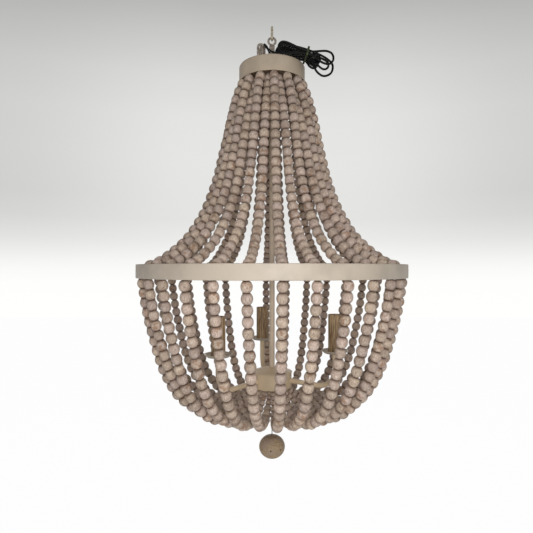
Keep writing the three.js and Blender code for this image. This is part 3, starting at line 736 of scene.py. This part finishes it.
def tube(points, radius, sides, closed=False):
    """Vertices and faces of a tube along points, free of twist."""
    points = np.asarray(points, float)
    count = len(points)
    after = np.roll(points, -1, 0) if closed else np.vstack([points[1:], points[-1:]])
    before = np.roll(points, 1, 0) if closed else np.vstack([points[:1], points[:-1]])
    tangents = after - before
    tangents /= np.linalg.norm(tangents, axis=1)[:, None]
    start = np.array([1.0, 0, 0]) if abs(tangents[0][2]) > 0.7 else np.array([0, 0, 1.0])
    normal = start - tangents[0] * start.dot(tangents[0])
    normal /= np.linalg.norm(normal)
    vertices = []
    for point, tangent in zip(points, tangents):
        normal = normal - tangent * normal.dot(tangent)
        normal /= np.linalg.norm(normal)
        side = np.cross(tangent, normal)
        for angle in round_angles(sides):
            vertices.append(point + radius * (normal * cos(angle) + side * sin(angle)))
    faces = ring_faces(count, sides, closed)
    if not closed:
        faces.append(tuple(range(sides))[::-1])
        faces.append(tuple(range((count - 1) * sides, count * sides)))
    return vertices, faces


def joined(shapes):
    """One shape from several."""
    vertices = []
    faces = []
    for more_vertices, more_faces in shapes:
        base = len(vertices)
        vertices.extend(more_vertices)
        faces.extend(tuple(i + base for i in face) for face in more_faces)
    return vertices, faces


def rounded(corner, start, end, radius, steps=4):
    """Points that round a corner of a profile between the lines to start and to end."""
    corner, start, end = (np.asarray(p, float) for p in (corner, start, end))
    a = corner + (start - corner) / np.linalg.norm(start - corner) * radius
    b = corner + (end - corner) / np.linalg.norm(end - corner) * radius
    shares = [k / steps for k in range(steps + 1)]
    return [tuple((1 - t) ** 2 * a + 2 * t * (1 - t) * corner + t**2 * b) for t in shares]


# Supply cord, hank and tie
def hank_axes():
    along = np.array([cos(radians(HANK_TURN)), sin(radians(HANK_TURN)), 0])
    return along, np.array([-along[1], along[0], 0])


def hank_place(u, v, plane):
    """A place u along the hank and v above the crown's top, in one of its planes."""
    along, across = hank_axes()
    w = (plane - (HANK_PLANES - 1) / 2) * HANK_PLANE_PITCH
    return np.array([*HANK_START, CROWN_TOP + v]) + along * u + across * w


def fold_points(u, v, radius, first, last, plane, next_plane):
    """An arc about (u, v) between two angles, which may cross to the next plane."""
    found = []
    for k in range(FOLD_STEPS + 1):
        share = k / FOLD_STEPS
        angle = first + (last - first) * share
        across = plane + (next_plane - plane) * share
        found.append(hank_place(u + radius * cos(angle), v + radius * sin(angle), across))
    return found


def left_fold(plane):
    end, lift, radius = LEFT_FOLDS[plane - 1]
    first = radians(90 - LEFT_FOLD_OPENING)
    middle = HANK_REST + lift + radius
    return fold_points(end + radius, middle, radius, first, radians(270), plane - 1, plane)


def right_fold(plane):
    end, rise, radius = RIGHT_FOLDS[plane]
    run = end - radius - TIE_AT
    slope = atan2(rise - TIE_RISE, run)
    opening = asin((radius - HANK_ROW_PITCH / 2) / hypot(run, rise - TIE_RISE))
    half_arc = radians(90) + opening
    first, last = slope - half_arc, slope + half_arc
    return fold_points(end - radius, rise, radius, first, last, plane, plane)


def hank_points():
    places = [hank_place(HANK_FIRST, HANK_REST, 0)]
    for plane in range(HANK_PLANES):
        lower_row = TIE_RISE - (0 if plane % 2 else HANK_ROW_PITCH)
        if plane > 0:
            places += left_fold(plane)
        places.append(hank_place(TIE_AT, lower_row, plane))
        if plane < HANK_PLANES - 1:
            places += right_fold(plane)
            places.append(hank_place(TIE_AT, lower_row + HANK_ROW_PITCH, plane))
        else:
            places.append(hank_place(HANK_LAST, lower_row - HANK_LAST_DROP, plane))
    return spline_points(places, HANK_STEPS_BETWEEN)


def add_cord():
    bush_bottom = CROWN_TOP - CROWN_WALL - BUSH_BELOW
    hank = hank_points()
    into = (hank[1] - hank[0]) / np.linalg.norm(hank[1] - hank[0])
    first = hank[0] - into * CORD_DIAMETER
    stations = [(*BUSH_PLACE, bush_bottom), *LEAD_POINTS, first - into * CORD_DIAMETER, first]
    route = np.vstack([spline_points(stations, LEAD_STEPS), hank])
    data = bpy.data.curves.new("supply_flex", "CURVE")
    data.dimensions = "3D"
    spline = data.splines.new("POLY")
    spline.points.add(len(route) - 1)
    for point, place in zip(spline.points, route):
        point.co = (*(place * MM), 1)
    data.bevel_depth = CORD_DIAMETER / 2 * MM
    data.bevel_resolution = 3
    data.use_fill_caps = True
    data.materials.append(LOOKS["black_plastic"])
    flex = settle(add_object("supply_flex", data), ["supply_cord", "cord_hank"])
    tie = add_tie()
    bush = add_bush(bush_bottom)


def add_bush(bottom):
    inner = CORD_DIAMETER / 2 + BUSH_BORE_GAP
    flange_bottom = CROWN_TOP + CLEARANCE
    flange_top = flange_bottom + BUSH_FLANGE_HEIGHT
    profile = [
        (inner, bottom),
        (BUSH_BODY_RADIUS, bottom),
        (BUSH_BODY_RADIUS, flange_bottom),
        (BUSH_FLANGE_RADIUS, flange_bottom),
        (BUSH_FLANGE_RADIUS, flange_bottom + BUSH_FLANGE_EDGE),
        (inner + BUSH_TOP_WIDTH, flange_top),
        (inner, flange_top),
    ]
    bush = soften(lathe("cord_grommet", profile, 40, "black_plastic", BUSH_PLACE), 0.3)
    return settle(bush, ["cord_bush"])


def tie_outline(width, height, corner):
    """An upright oblong with round corners."""
    found = []
    for quarter, (x, y) in enumerate(((1, 1), (-1, 1), (-1, -1), (1, -1))):
        for k in range(TIE_CORNER_STEPS + 1):
            angle = pi / 2 * (quarter + k / TIE_CORNER_STEPS)
            w = x * (width - corner) + corner * cos(angle)
            found.append((w, y * (height - corner) + corner * sin(angle)))
    return found


def add_tie():
    """A flat tie round the hank's waist."""
    half_height = HANK_ROW_PITCH + CORD_DIAMETER / 2 + TIE_GAP
    half_width = ((HANK_PLANES - 1) * HANK_PLANE_PITCH + CORD_DIAMETER) / 2 + TIE_GAP
    along, across = hank_axes()
    tilt = radians(TIE_TILT)
    lean = along * cos(tilt) + np.array([0, 0, -sin(tilt)])
    up = along * sin(tilt) + np.array([0, 0, cos(tilt)])
    centre = hank_place(TIE_AT, TIE_RISE, (HANK_PLANES - 1) / 2)
    rings = [
        [
            centre + across * w + up * v + lean * shift
            for w, v in tie_outline(half_width + out, half_height + out, CORD_DIAMETER / 2 + out)
        ]
        for out, shift in band(0, TIE_THICKNESS, -TIE_WIDTH / 2, TIE_WIDTH / 2)
    ]
    shape = (sum(rings, []), ring_faces(len(rings), len(rings[0]), True))
    return settle(soften(solid("twist_tie", shape, "tie_plastic"), 0.25), ["cord_tie"])


# Strands of beads
def strand_azimuth(i):
    return FIRST_AZIMUTH + 360 * i / STRANDS


def row_inset(down_share):
    along_share = min(max(down_share / ROW_MERGE_SHARE, 0), 1)
    return (CROWN_OUTER_ROW - CROWN_INNER_ROW) * cos(pi / 2 * along_share) ** 2


def upper_path(i):
    """(radius, height) of the beads' line from the crown to the ring."""
    span = RING_ROW - CROWN_OUTER_ROW
    drop = CROWN_BOTTOM - RING_TOP
    points = []
    for out_share, down_share in zip(UPPER_OUT_SHARES, UPPER_DOWN_SHARES):
        radius = CROWN_OUTER_ROW + out_share * span - (row_inset(down_share) if i % 2 else 0)
        points.append((radius, CROWN_BOTTOM - down_share * drop))
    return Path(spline_points(points)).longer(END_CONE, END_CONE)


def lower_path(i):
    """(radius, height) of the beads' line from the ring to the hub."""
    row = HUB_INNER_ROW if i % 2 else HUB_OUTER_ROW
    drop = RING_BOTTOM - HUB_BOTTOM
    points = []
    for in_share, down_share in zip(LOWER_IN_SHARES, LOWER_DOWN_SHARES):
        points.append((RING_ROW - in_share * (RING_ROW - row), RING_BOTTOM - down_share * drop))
    before = LOWER_DOWN_SHARES[0] * drop - CLEARANCE
    return Path(spline_points(points)).longer(before, END_CONE)


def bead_at_crown(length):
    """The beads' diameter along the upper line, larger towards the ring."""
    return lambda s: CROWN_BEAD_DIAMETER + (BEAD_DIAMETER - CROWN_BEAD_DIAMETER) * s / length


def bead_at_hub(length):
    """The beads' diameter along the lower line, largest midway and small at the hub."""

    def diameter(s):
        share = min(max((length - s - SMALL_RUN) / (TAPER_LENGTH - SMALL_RUN), 0), 1)
        full = BEAD_DIAMETER * (1 + LOWER_BULGE_SHARE * sin(pi * s / length))
        return SMALLEST_BEAD + (full - SMALLEST_BEAD) * share

    return diameter


def bead_places(length, diameter_at, length_share):
    """(middle, length, diameter) of the beads that fill a line from end to end."""
    found = []
    s = 0
    while s < length:
        diameter = diameter_at(min(s, length)) * rng.uniform(*BEAD_SIZE_RANGE)
        size = diameter * length_share
        if s + size / 2 > length:
            break
        found.append([s + size / 2, size, diameter])
        s += size
    stretch = length / s
    return [(middle * stretch, size * stretch, diameter) for middle, size, diameter in found]


def bead_template(segments, rows):
    """Unit bead about Z: radius 1, half length 1, flat at its ends, with its bore."""
    fall = sqrt(1 - BEAD_END_SHARE**2)
    flat = BEAD_END_SHARE - BEAD_EDGE_SHARE
    profile = [(BORE_SHARE, -1.0), (flat, -1.0)]
    for k in range(rows):
        height = (1 - BEAD_EDGE_SHARE) * (2 * k / (rows - 1) - 1)
        profile.append((sqrt(1 - (fall * height) ** 2), height))
    profile += [(flat, 1.0), (BORE_SHARE, 1.0)]
    vertices = []
    for radius, height in profile:
        vertices += [(radius * cos(a), radius * sin(a), height) for a in round_angles(segments)]
    return np.array(vertices), np.array(ring_faces(len(profile), segments, True))


BEAD_VERTICES, BEAD_FACES = bead_template(18, 9)


def add_strand(i):
    azimuth = strand_azimuth(i)
    out = outward(azimuth)
    side = np.array([cos(radians(azimuth)), sin(radians(azimuth)), 0])
    up = np.array([0, 0, 1.0])
    vertices = []
    places = []
    tints_and_painted_light = []
    upper = upper_path(i)
    lower = lower_path(i)
    runs = [
        (upper, bead_at_crown(upper.length), UPPER_LENGTH_SHARE),
        (lower, bead_at_hub(lower.length), LOWER_LENGTH_SHARE),
    ]
    for path, diameter_at, length_share in runs:
        for middle, size, diameter in bead_places(path.length, diameter_at, length_share):
            radius, z = path.point(middle)
            along_r, along_z = path.tangent(middle, size / 3)
            axis = out * along_r + up * along_z
            normal = out * along_z - up * along_r
            turn = rng.uniform(0, 2 * pi)
            x_axis = normal * cos(turn) + side * sin(turn)
            y_axis = np.cross(axis, x_axis)
            squash = rng.uniform(*BEAD_SQUASH_RANGE)
            half = size * BEAD_FILL_SHARE / 2
            local = BEAD_VERTICES * [diameter / 2 * squash, diameter / 2 / squash, half]
            centre = out * radius + up * z
            vertices.append(centre + local @ np.array([x_axis, y_axis, axis]))
            places.append(local + rng.uniform(-PATTERN_REACH, PATTERN_REACH, 3))
            tint = rng.uniform(0, 1)
            # Painted light: small beads are made paler than their random tint.
            painted_lift = SMALL_BEAD_PAINTED_LIGHT * max(1 - diameter / BEAD_DIAMETER, 0)
            tints_and_painted_light.append(np.full(len(local), tint + painted_lift * (1 - tint)))
    count = len(vertices)
    faces = np.vstack([BEAD_FACES + k * len(BEAD_VERTICES) for k in range(count)]).tolist()
    number = f"{i + 1:02d}"
    shape = (np.vstack(vertices), faces)
    obj = mesh_object("beads_" + number, shape, "bead_wood", BEAD_SHARP_DEGREES)
    poles = np.tile(np.abs(BEAD_VERTICES[:, 2]), count)
    for name, kind, field, values in (
        ("bead_place", "FLOAT_VECTOR", "vector", np.vstack(places)),
        ("bead_tint_and_painted_light", "FLOAT", "value", np.concatenate(tints_and_painted_light)),
        ("bead_pole", "FLOAT", "value", poles),
    ):
        data = obj.data.attributes.new(name, kind, "POINT").data
        data.foreach_set(field, values.astype(np.float32).ravel())
    settle(obj, ["bead_strand_" + number])
    add_twine(number, out, upper, lower, i)


def knot_points(centre, size):
    """A trefoil, the simplest knot, about a vertical line."""
    found = []
    for t in round_angles(36):
        x, y = (sin(t) + 2 * sin(2 * t)) / 3, (cos(t) - 2 * cos(2 * t)) / 3
        found.append(centre + size * np.array([x, y, -sin(3 * t) / 2.2]))
    return found


def add_twine(number, out, upper, lower, i):
    """The twine through the beads, with a knot above the crown's plate and one in the hub."""
    crown_row = CROWN_INNER_ROW if i % 2 else CROWN_OUTER_ROW
    hub_row = HUB_INNER_ROW if i % 2 else HUB_OUTER_ROW
    crown_knot = PLATE_TOP + CLEARANCE + KNOT_HEIGHT / 2
    hub_knot = HUB_BOTTOM + HUB_WALL + CLEARANCE + KNOT_HEIGHT / 2
    flat = [
        (crown_row, crown_knot),
        *upper.points[::6],
        (RING_ROW, RING_BOTTOM + FLANGE_THICKNESS + CLEARANCE),
        (RING_ROW, RING_BOTTOM - CLEARANCE),
        *lower.points[6::6],
        (hub_row, HUB_BOTTOM - CLEARANCE),
        (hub_row, hub_knot),
    ]
    shapes = [tube([out * radius + np.array([0, 0, z]) for radius, z in flat], TWINE_RADIUS, 6)]
    for row, z in ((crown_row, crown_knot), (hub_row, hub_knot)):
        centre = out * row + np.array([0, 0, z])
        shapes.append(tube(knot_points(centre, KNOT_SIZE), KNOT_TWINE, 6, closed=True))
    settle(mesh_object("twine_" + number, joined(shapes), "twine"))


# Painted metal parts
def add_crown():
    outer = CROWN_RADIUS
    inner = outer - CROWN_WALL
    stem_hole = STEM_RADIUS + CLEARANCE
    under = CROWN_TOP - CROWN_WALL
    profile = [
        (stem_hole, under),
        *rounded((inner, under), (stem_hole, under), (inner, CROWN_BOTTOM), CROWN_ROUND),
        (inner, CROWN_BOTTOM + SMALL_CHAMFER),
        (inner + SMALL_CHAMFER, CROWN_BOTTOM),
        (outer - CHAMFER, CROWN_BOTTOM),
        (outer, CROWN_BOTTOM + CHAMFER),
        *rounded((outer, CROWN_TOP), (outer, CROWN_BOTTOM), (stem_hole, CROWN_TOP), CROWN_TOP_ROUND),
        (stem_hole, CROWN_TOP),
    ]
    # The canopy's paint is the cream paint with painted shade.
    pan = lathe("crown_canopy", profile, 128, "crown_paint_painted_shade")
    bore(pan, BUSH_BODY_RADIUS + CLEARANCE, under, CROWN_TOP, 32, BUSH_PLACE)
    settle(pan, ["crown_pan"])

    profile = band(PLATE_OPENING / 2, inner - CLEARANCE, PLATE_BOTTOM, PLATE_TOP)
    # The plate is painted dark, as painted shade under the crown.
    plate = lathe("crown_plate", profile, 96, "pan_inside_painted_shade")
    drill_rows(plate, [CROWN_OUTER_ROW, CROWN_INNER_ROW], PLATE_BOTTOM, PLATE_TOP)
    settle(plate, ["crown_strand_plate"])


def add_ring():
    outer = RING_RADIUS
    inner = outer - RING_WALL
    lip = inner - FLANGE_WIDTH
    flange_top = RING_BOTTOM + FLANGE_THICKNESS
    profile = [
        (lip, RING_BOTTOM),
        *rounded((outer, RING_BOTTOM), (lip, RING_BOTTOM), (outer, RING_TOP), RING_ROUND),
        *rounded((outer, RING_TOP), (outer, RING_BOTTOM), (inner, RING_TOP), RING_ROUND),
        (inner + 0.2, RING_TOP),
        (inner, RING_TOP - 0.3),
        *rounded((inner, flange_top), (inner, RING_TOP), (lip, flange_top), RING_INNER_ROUND),
        (lip + SMALL_CHAMFER, flange_top),
        (lip, flange_top - SMALL_CHAMFER),
    ]
    ring = lathe("ring_band", profile, 240, "cream_paint")
    drill_rows(ring, [RING_ROW], RING_BOTTOM, flange_top)
    settle(ring, ["mid_ring"])

    bar_bottom = flange_top + CLEARANCE
    bar_top = bar_bottom + SPIDER_BAR_THICKNESS
    boss_bottom = (bar_bottom + bar_top - SPIDER_BOSS_HEIGHT) / 2
    boss_top = boss_bottom + SPIDER_BOSS_HEIGHT
    profile = band(0, SPIDER_BOSS_RADIUS, boss_bottom, boss_top)
    spider = lathe("ring_centre_bars", profile, 48, "cream_paint")
    box_faces = [(0, 1, 3, 2), (4, 6, 7, 5), (0, 4, 5, 1), (2, 3, 7, 6), (0, 2, 6, 4), (1, 5, 7, 3)]
    for k in range(SPIDER_BARS):
        out = outward(FIRST_AZIMUTH + 180 / STRANDS + 360 * k / SPIDER_BARS)
        side = np.array([-out[1], out[0], 0])
        corners = [
            out * reach + side * across + np.array([0, 0, z])
            for reach in (0, inner - SPIDER_BAR_GAP)
            for across in (-SPIDER_BAR_WIDTH / 2, SPIDER_BAR_WIDTH / 2)
            for z in (bar_bottom, bar_top)
        ]
        combine(spider, solid("bar", (corners, box_faces), "cream_paint"), "UNION")
    bore(spider, STEM_RADIUS + CLEARANCE, boss_bottom, boss_top)
    settle(soften(spider, 0.4), ["ring_spider"])


def add_stem():
    collar_top = CROWN_TOP - CROWN_WALL - CLEARANCE
    profile = [
        (STEM_BORE, STEM_BOTTOM),
        (STEM_RADIUS, STEM_BOTTOM),
        (STEM_RADIUS, collar_top - COLLAR_HEIGHT),
        (COLLAR_RADIUS, collar_top - COLLAR_HEIGHT),
        (COLLAR_RADIUS, collar_top),
        (STEM_RADIUS, collar_top),
        (STEM_RADIUS, STEM_TOP),
        (STEM_BORE, STEM_TOP),
    ]
    # The stem's paint is the cream paint with painted light.
    stem = soften(lathe("stem_tube", profile, 56, "stem_paint_painted_light"), 0.3)
    settle(stem, ["centre_stem"])


def wire_ring(mean_radius, wire, height, steps, sides, across_y=True):
    """A ring of wire that stands square to Y, or to X."""
    points = []
    for angle in round_angles(steps):
        flat = mean_radius * cos(angle)
        z = height + mean_radius * sin(angle)
        points.append((flat, 0, z) if across_y else (0, flat, z))
    return tube(points, wire, sides, closed=True)


def add_hub():
    inner = HUB_RADIUS - HUB_WALL
    floor_top = HUB_BOTTOM + HUB_WALL
    profile = [
        (0, HUB_BOTTOM),
        (HUB_RADIUS - LARGE_CHAMFER, HUB_BOTTOM),
        (HUB_RADIUS, HUB_BOTTOM + LARGE_CHAMFER),
        (HUB_RADIUS, HUB_TOP - SMALL_CHAMFER),
        (HUB_RADIUS - SMALL_CHAMFER, HUB_TOP),
        (inner, HUB_TOP),
        (inner, floor_top),
        (0, floor_top),
    ]
    # The hub's paint is the cream paint with painted light.
    cup = lathe("hub_body", profile, 96, "hub_paint_painted_light")
    drill_rows(cup, [HUB_OUTER_ROW, HUB_INNER_ROW], HUB_BOTTOM, floor_top)
    for i in range(CANDLES):
        azimuth = FIRST_ARM_AZIMUTH + 360 * i / CANDLES
        ends = [at_radius(azimuth, r, ARM_Z) for r in (HUB_RADIUS - 8, HUB_RADIUS + 8)]
        cut(cup, tube(ends, ARM_RADIUS + CLEARANCE, 32))
    eye = solid("hub_eye", wire_ring(EYE_RADIUS, EYE_WIRE, HUB_BOTTOM - EYE_DROP, 40, 10), "dark_metal")
    settle(cup, ["hub_cup"])
    settle(eye)

    bottom = HUB_TOP + CLEARANCE
    top = bottom + COVER_RISE
    edge = HUB_RADIUS + COVER_LIP
    stem_hole = STEM_RADIUS + CLEARANCE
    profile = [
        (stem_hole, top - COVER_WALL),
        (COVER_FLAT, top - COVER_WALL),
        (inner, bottom),
        (edge, bottom),
        (edge, bottom + COVER_WALL),
        ((edge + COVER_FLAT) / 2, bottom + COVER_RISE / 2 + COVER_WALL),
        (COVER_FLAT, top),
        (stem_hole, top),
    ]
    cover = soften(lathe("hub_lid", profile, 96, "hub_paint_painted_light"), 0.5, 3, 15)
    settle(cover, ["hub_cover"])


def add_candle(i):
    azimuth = FIRST_ARM_AZIMUTH + 360 * i / CANDLES
    number = str(i + 1)
    place = at_radius(azimuth, CANDLE_RADIUS, 0)[:2]
    dish_bottom = low("drip_dish_" + number)[2]
    low_z = ARM_Z - ARM_DIP
    bend_start = CANDLE_RADIUS - ARM_BEND
    route = [(ARM_START, ARM_Z), (HUB_RADIUS + ARM_OVERRUN, ARM_Z), (bend_start, low_z)]
    for k in range(1, 17):
        angle = pi / 2 * k / 16
        route.append((bend_start + ARM_BEND * sin(angle), low_z + ARM_BEND * (1 - cos(angle))))
    route.append((CANDLE_RADIUS, dish_bottom - CLEARANCE))
    shape = tube([at_radius(azimuth, r, z) for r, z in route], ARM_RADIUS, 28)
    arm = soften(mesh_object("arm_tube_" + number, shape, "hub_paint_painted_light"), 0.3)
    settle(arm, ["candle_arm_" + number])

    floor_top = dish_bottom + DISH_WALL
    dish_top = dish_bottom + DISH_DEPTH
    profile = [
        (DISH_HOLE, dish_bottom),
        (DISH_FLOOR, dish_bottom),
        (DISH_RADIUS - 1, dish_top - DISH_WALL - CHAMFER),
        (DISH_RADIUS, dish_top - DISH_WALL / 2),
        (DISH_RADIUS - SMALL_CHAMFER, dish_top),
        (DISH_FLOOR, floor_top),
        (DISH_HOLE, floor_top),
    ]
    dish = soften(lathe("dish_" + number, profile, 72, "cream_paint", place), 0.4, 3, 12)
    settle(dish, ["drip_dish_" + number])

    seat = floor_top + CLEARANCE
    top = high("lamp_socket_" + number)[2]
    profile = [
        (0, seat),
        (SOCKET_RADIUS, seat),
        (SOCKET_RADIUS, top),
        (SOCKET_BORE, top),
        (SOCKET_BORE, top - SOCKET_BORE_DEPTH),
        (0, top - SOCKET_BORE_DEPTH),
    ]
    socket = soften(lathe("socket_" + number, profile, 56, "ivory_plastic", place), 0.5)
    settle(socket, ["lamp_socket_" + number])

    sleeve_top = high("candle_sleeve_" + number)[2]
    phases = rng.uniform(0, 2 * pi, SLEEVE_WAVES)

    def wobble(angle, height, radius):
        """The sleeve's outside waves in and out a little."""
        if radius < SLEEVE_RADIUS - 0.2:
            return 0
        twist = 0.15 * ((sleeve_top - height) / 10)
        waves = [sin((3 + 2 * k) * angle + phases[k] + twist) / (k + 2) for k in range(SLEEVE_WAVES)]
        return -0.18 + 0.14 * sum(waves)

    profile = [(SLEEVE_RADIUS - SLEEVE_WALL, seat)]
    for k in range(SLEEVE_STEPS + 1):
        profile.append((SLEEVE_RADIUS, seat + (sleeve_top - CHAMFER - seat) * k / SLEEVE_STEPS))
    profile += [(SLEEVE_RADIUS - 0.5, sleeve_top), (SLEEVE_RADIUS - SLEEVE_WALL, sleeve_top)]
    sleeve = lathe("sleeve_" + number, profile, 72, "sleeve_wood", place, wobble)
    settle(sleeve, ["candle_sleeve_" + number], "sleeve_" + number)


# Hanging parts
def link_points(turn, place):
    """A long link's centreline, turned about Z from the YZ plane and put in its place."""
    bend = (LINK_WIDTH - LINK_WIRE) / 2
    straight = LINK_LENGTH - LINK_WIDTH
    found = []
    for half in (1, -1):
        for k in range(LINK_STEPS + 1):
            angle = pi * k / LINK_STEPS
            y, z = half * bend * cos(angle), half * (bend * sin(angle) + straight / 2)
            found.append((-y * sin(radians(turn)), y * cos(radians(turn)), z))
    return np.array(found) + place


def add_link(name, turn, place, node, body="fixture", look="worn_metal"):
    shape = tube(link_points(turn, place), LINK_WIRE / 2, 18, closed=True)
    settle(solid(name, shape, look), [node], body)


def add_hanger():
    place = [0, 0, LINK_WIRE - LINK_LENGTH / 2]
    add_link("top_link", 0, place, "hanging_link", "link", "pale_metal")

    loop_mean = (LOOP_DIAMETER - LOOP_WIRE) / 2
    loop_centre = high("hanging_loop")[2] - LOOP_DIAMETER / 2
    loop_bottom = loop_centre - LOOP_DIAMETER / 2
    loop = solid("loop_ring", wire_ring(loop_mean, LOOP_WIRE / 2, loop_centre, 96, 20), "worn_metal")
    neck_bottom = STEM_TOP + CLEARANCE
    profile = [
        (0, neck_bottom - STUB_LENGTH),
        (STUB_RADIUS, neck_bottom - STUB_LENGTH),
        (STUB_RADIUS, neck_bottom),
        (NECK_RADIUS, neck_bottom),
        (NECK_RADIUS, loop_bottom),
        (LOOP_WIRE / 2, loop_bottom + LOOP_WIRE / 2),
        (0, loop_bottom + LOOP_WIRE / 2),
    ]
    combine(loop, lathe("neck", profile, 48, "worn_metal"), "UNION")
    settle(soften(loop, 0.35), ["hanging_loop"])

    nut_bottom = CROWN_TOP + CLEARANCE
    nut_top = nut_bottom + NUT_HEIGHT
    nut_radius = NUT_FLATS / 2 / cos(pi / 6)
    nut = lathe("crown_nut", band(0, nut_radius, nut_bottom, nut_top), 6, "worn_metal")
    bore(nut, STEM_RADIUS + CLEARANCE, nut_bottom, nut_top, look="worn_metal")
    settle(soften(nut, 0.6, 3), ["lock_nut"])


def add_spare_links():
    """Two links, each through the other, bunched upright on the crown."""
    lower = CROWN_TOP + CLEARANCE + LINK_LENGTH / 2
    upper = lower + CLEARANCE + LINK_WIRE
    add_link("loose_link_1", SPARE_LINK_TURN, [*SPARE_LINK_PLACE, lower], "spare_link_1")
    add_link("loose_link_2", SPARE_LINK_TURN + 90, [*SPARE_LINK_PLACE, upper], "spare_link_2")


def add_finial():
    top = high("finial_ball")[2]
    bottom = low("finial_ball")[2]
    centre = (top + bottom) / 2
    half = (top - bottom) / 2
    inner = EYE_WIRE + CLEARANCE
    profile = [(0, top - FINIAL_BORE_DEPTH), (inner, top - FINIAL_BORE_DEPTH)]
    mouth = asin(inner / FINIAL_RADIUS)
    for k in range(FINIAL_STEPS + 1):
        angle = mouth + (pi - mouth) * k / FINIAL_STEPS
        radius = 0 if k == FINIAL_STEPS else FINIAL_RADIUS * sin(angle)
        profile.append((radius, centre + half * cos(angle)))
    ball = lathe("wooden_ball", profile, 72, "dark_wood")
    depth = FINIAL_RADIUS - FINIAL_HOLE_DEPTH
    for k in range(FINIAL_HOLES):
        azimuth = FIRST_FINIAL_HOLE + 360 * k / FINIAL_HOLES
        ends = [at_radius(azimuth, reach, centre) for reach in (depth, depth + 10)]
        cut(ball, tube(ends, FINIAL_HOLE_RADIUS, 24), "dark_wood")
    settle(ball, ["finial_ball"], "finial")

    eye_top = high("finial_wire")[2]
    eye = wire_ring(EYE_RADIUS, EYE_WIRE, eye_top - EYE_RADIUS - EYE_WIRE, 40, 10, False)
    heights = (top - FINIAL_BORE_DEPTH + CLEARANCE, eye_top - 2 * EYE_RADIUS - EYE_WIRE)
    stem = tube([(0, 0, z) for z in heights], EYE_WIRE, 12)
    wire = solid("ball_wire", joined([eye, stem]), "dark_metal")
    settle(wire, ["finial_wire"], "finial")


# Stage
def add_floor():
    half = FLOOR_SIDE / 2 * MM
    corners = [(-half, -half), (half, -half), (half, half), (-half, half)]
    mesh = bpy.data.meshes.new("floor")
    mesh.from_pydata([(x, y, FLOOR_HEIGHT * MM) for x, y in corners], [], [(0, 1, 2, 3)])
    floor = add_object("floor", mesh)
    material = bpy.data.materials.new("floor")
    look = Nodes(material)
    look.tree.nodes.clear()
    lit = look.add("BsdfDiffuse", {"Color": FLOOR_COLOUR})
    look.split("OutputMaterial", FLOOR_SEEN, lit, look.add("Emission", {"Color": (1, 1, 1, 1)}))
    mesh.materials.append(material)


def add_world():
    """A soft even light, seen as a pale grey that is white from the horizon down."""
    world = bpy.data.worlds.new("studio")
    bpy.context.scene.world = world
    sky = Nodes(world)
    sky.tree.nodes.clear()
    parts = sky.node("SeparateXYZ", {0: sky.add("TexCoord", output="Generated")}).outputs
    ramp = sky.node("ValToRGB", {0: sky.span(parts["Z"], -0.5, 0.5, kind="LINEAR")})
    elements = ramp.color_ramp.elements
    while len(elements) < len(BACKDROP):
        elements.new(0.5)
    for element, (position, level) in zip(elements, BACKDROP):
        element.position = position
        element.color = linear((level, level, level - 2))
    dimmest = sky.span(parts["Z"], 0, 0.15, 1, 0.8, "LINEAR")
    dimming = sky.span(sky.math("ABSOLUTE", parts["X"], 0), 0.15, 0.55, 1, dimmest)
    seen = sky.add("Background", {"Color": ramp.outputs[0], "Strength": dimming})
    lit = sky.add("Background", {"Color": WORLD_COLOUR, "Strength": WORLD_STRENGTH})
    sky.split("OutputWorld", 1.0, lit, seen)


def add_lamp(name, place, target, side, power):
    data = bpy.data.lights.new(name, "AREA")
    data.size = side * MM
    data.energy = power
    data.color = LAMP_COLOUR
    lamp = add_object(name, data)
    lamp.visible_camera = False
    lamp.location = Vector(place) * MM
    aim = (Vector(target) - Vector(place)).normalized()
    lamp.rotation_mode = "QUATERNION"
    lamp.rotation_quaternion = aim.to_track_quat("-Z", "Y")


bpy.context.scene.view_settings.view_transform = "Standard"
set_camera()
add_cord()
for strand in range(STRANDS):
    add_strand(strand)
add_crown()
add_ring()
add_stem()
add_hub()
for candle in range(CANDLES):
    add_candle(candle)
add_hanger()
add_spare_links()
add_finial()
add_floor()
add_world()
for lamp_facts in LAMPS:
    add_lamp(*lamp_facts)
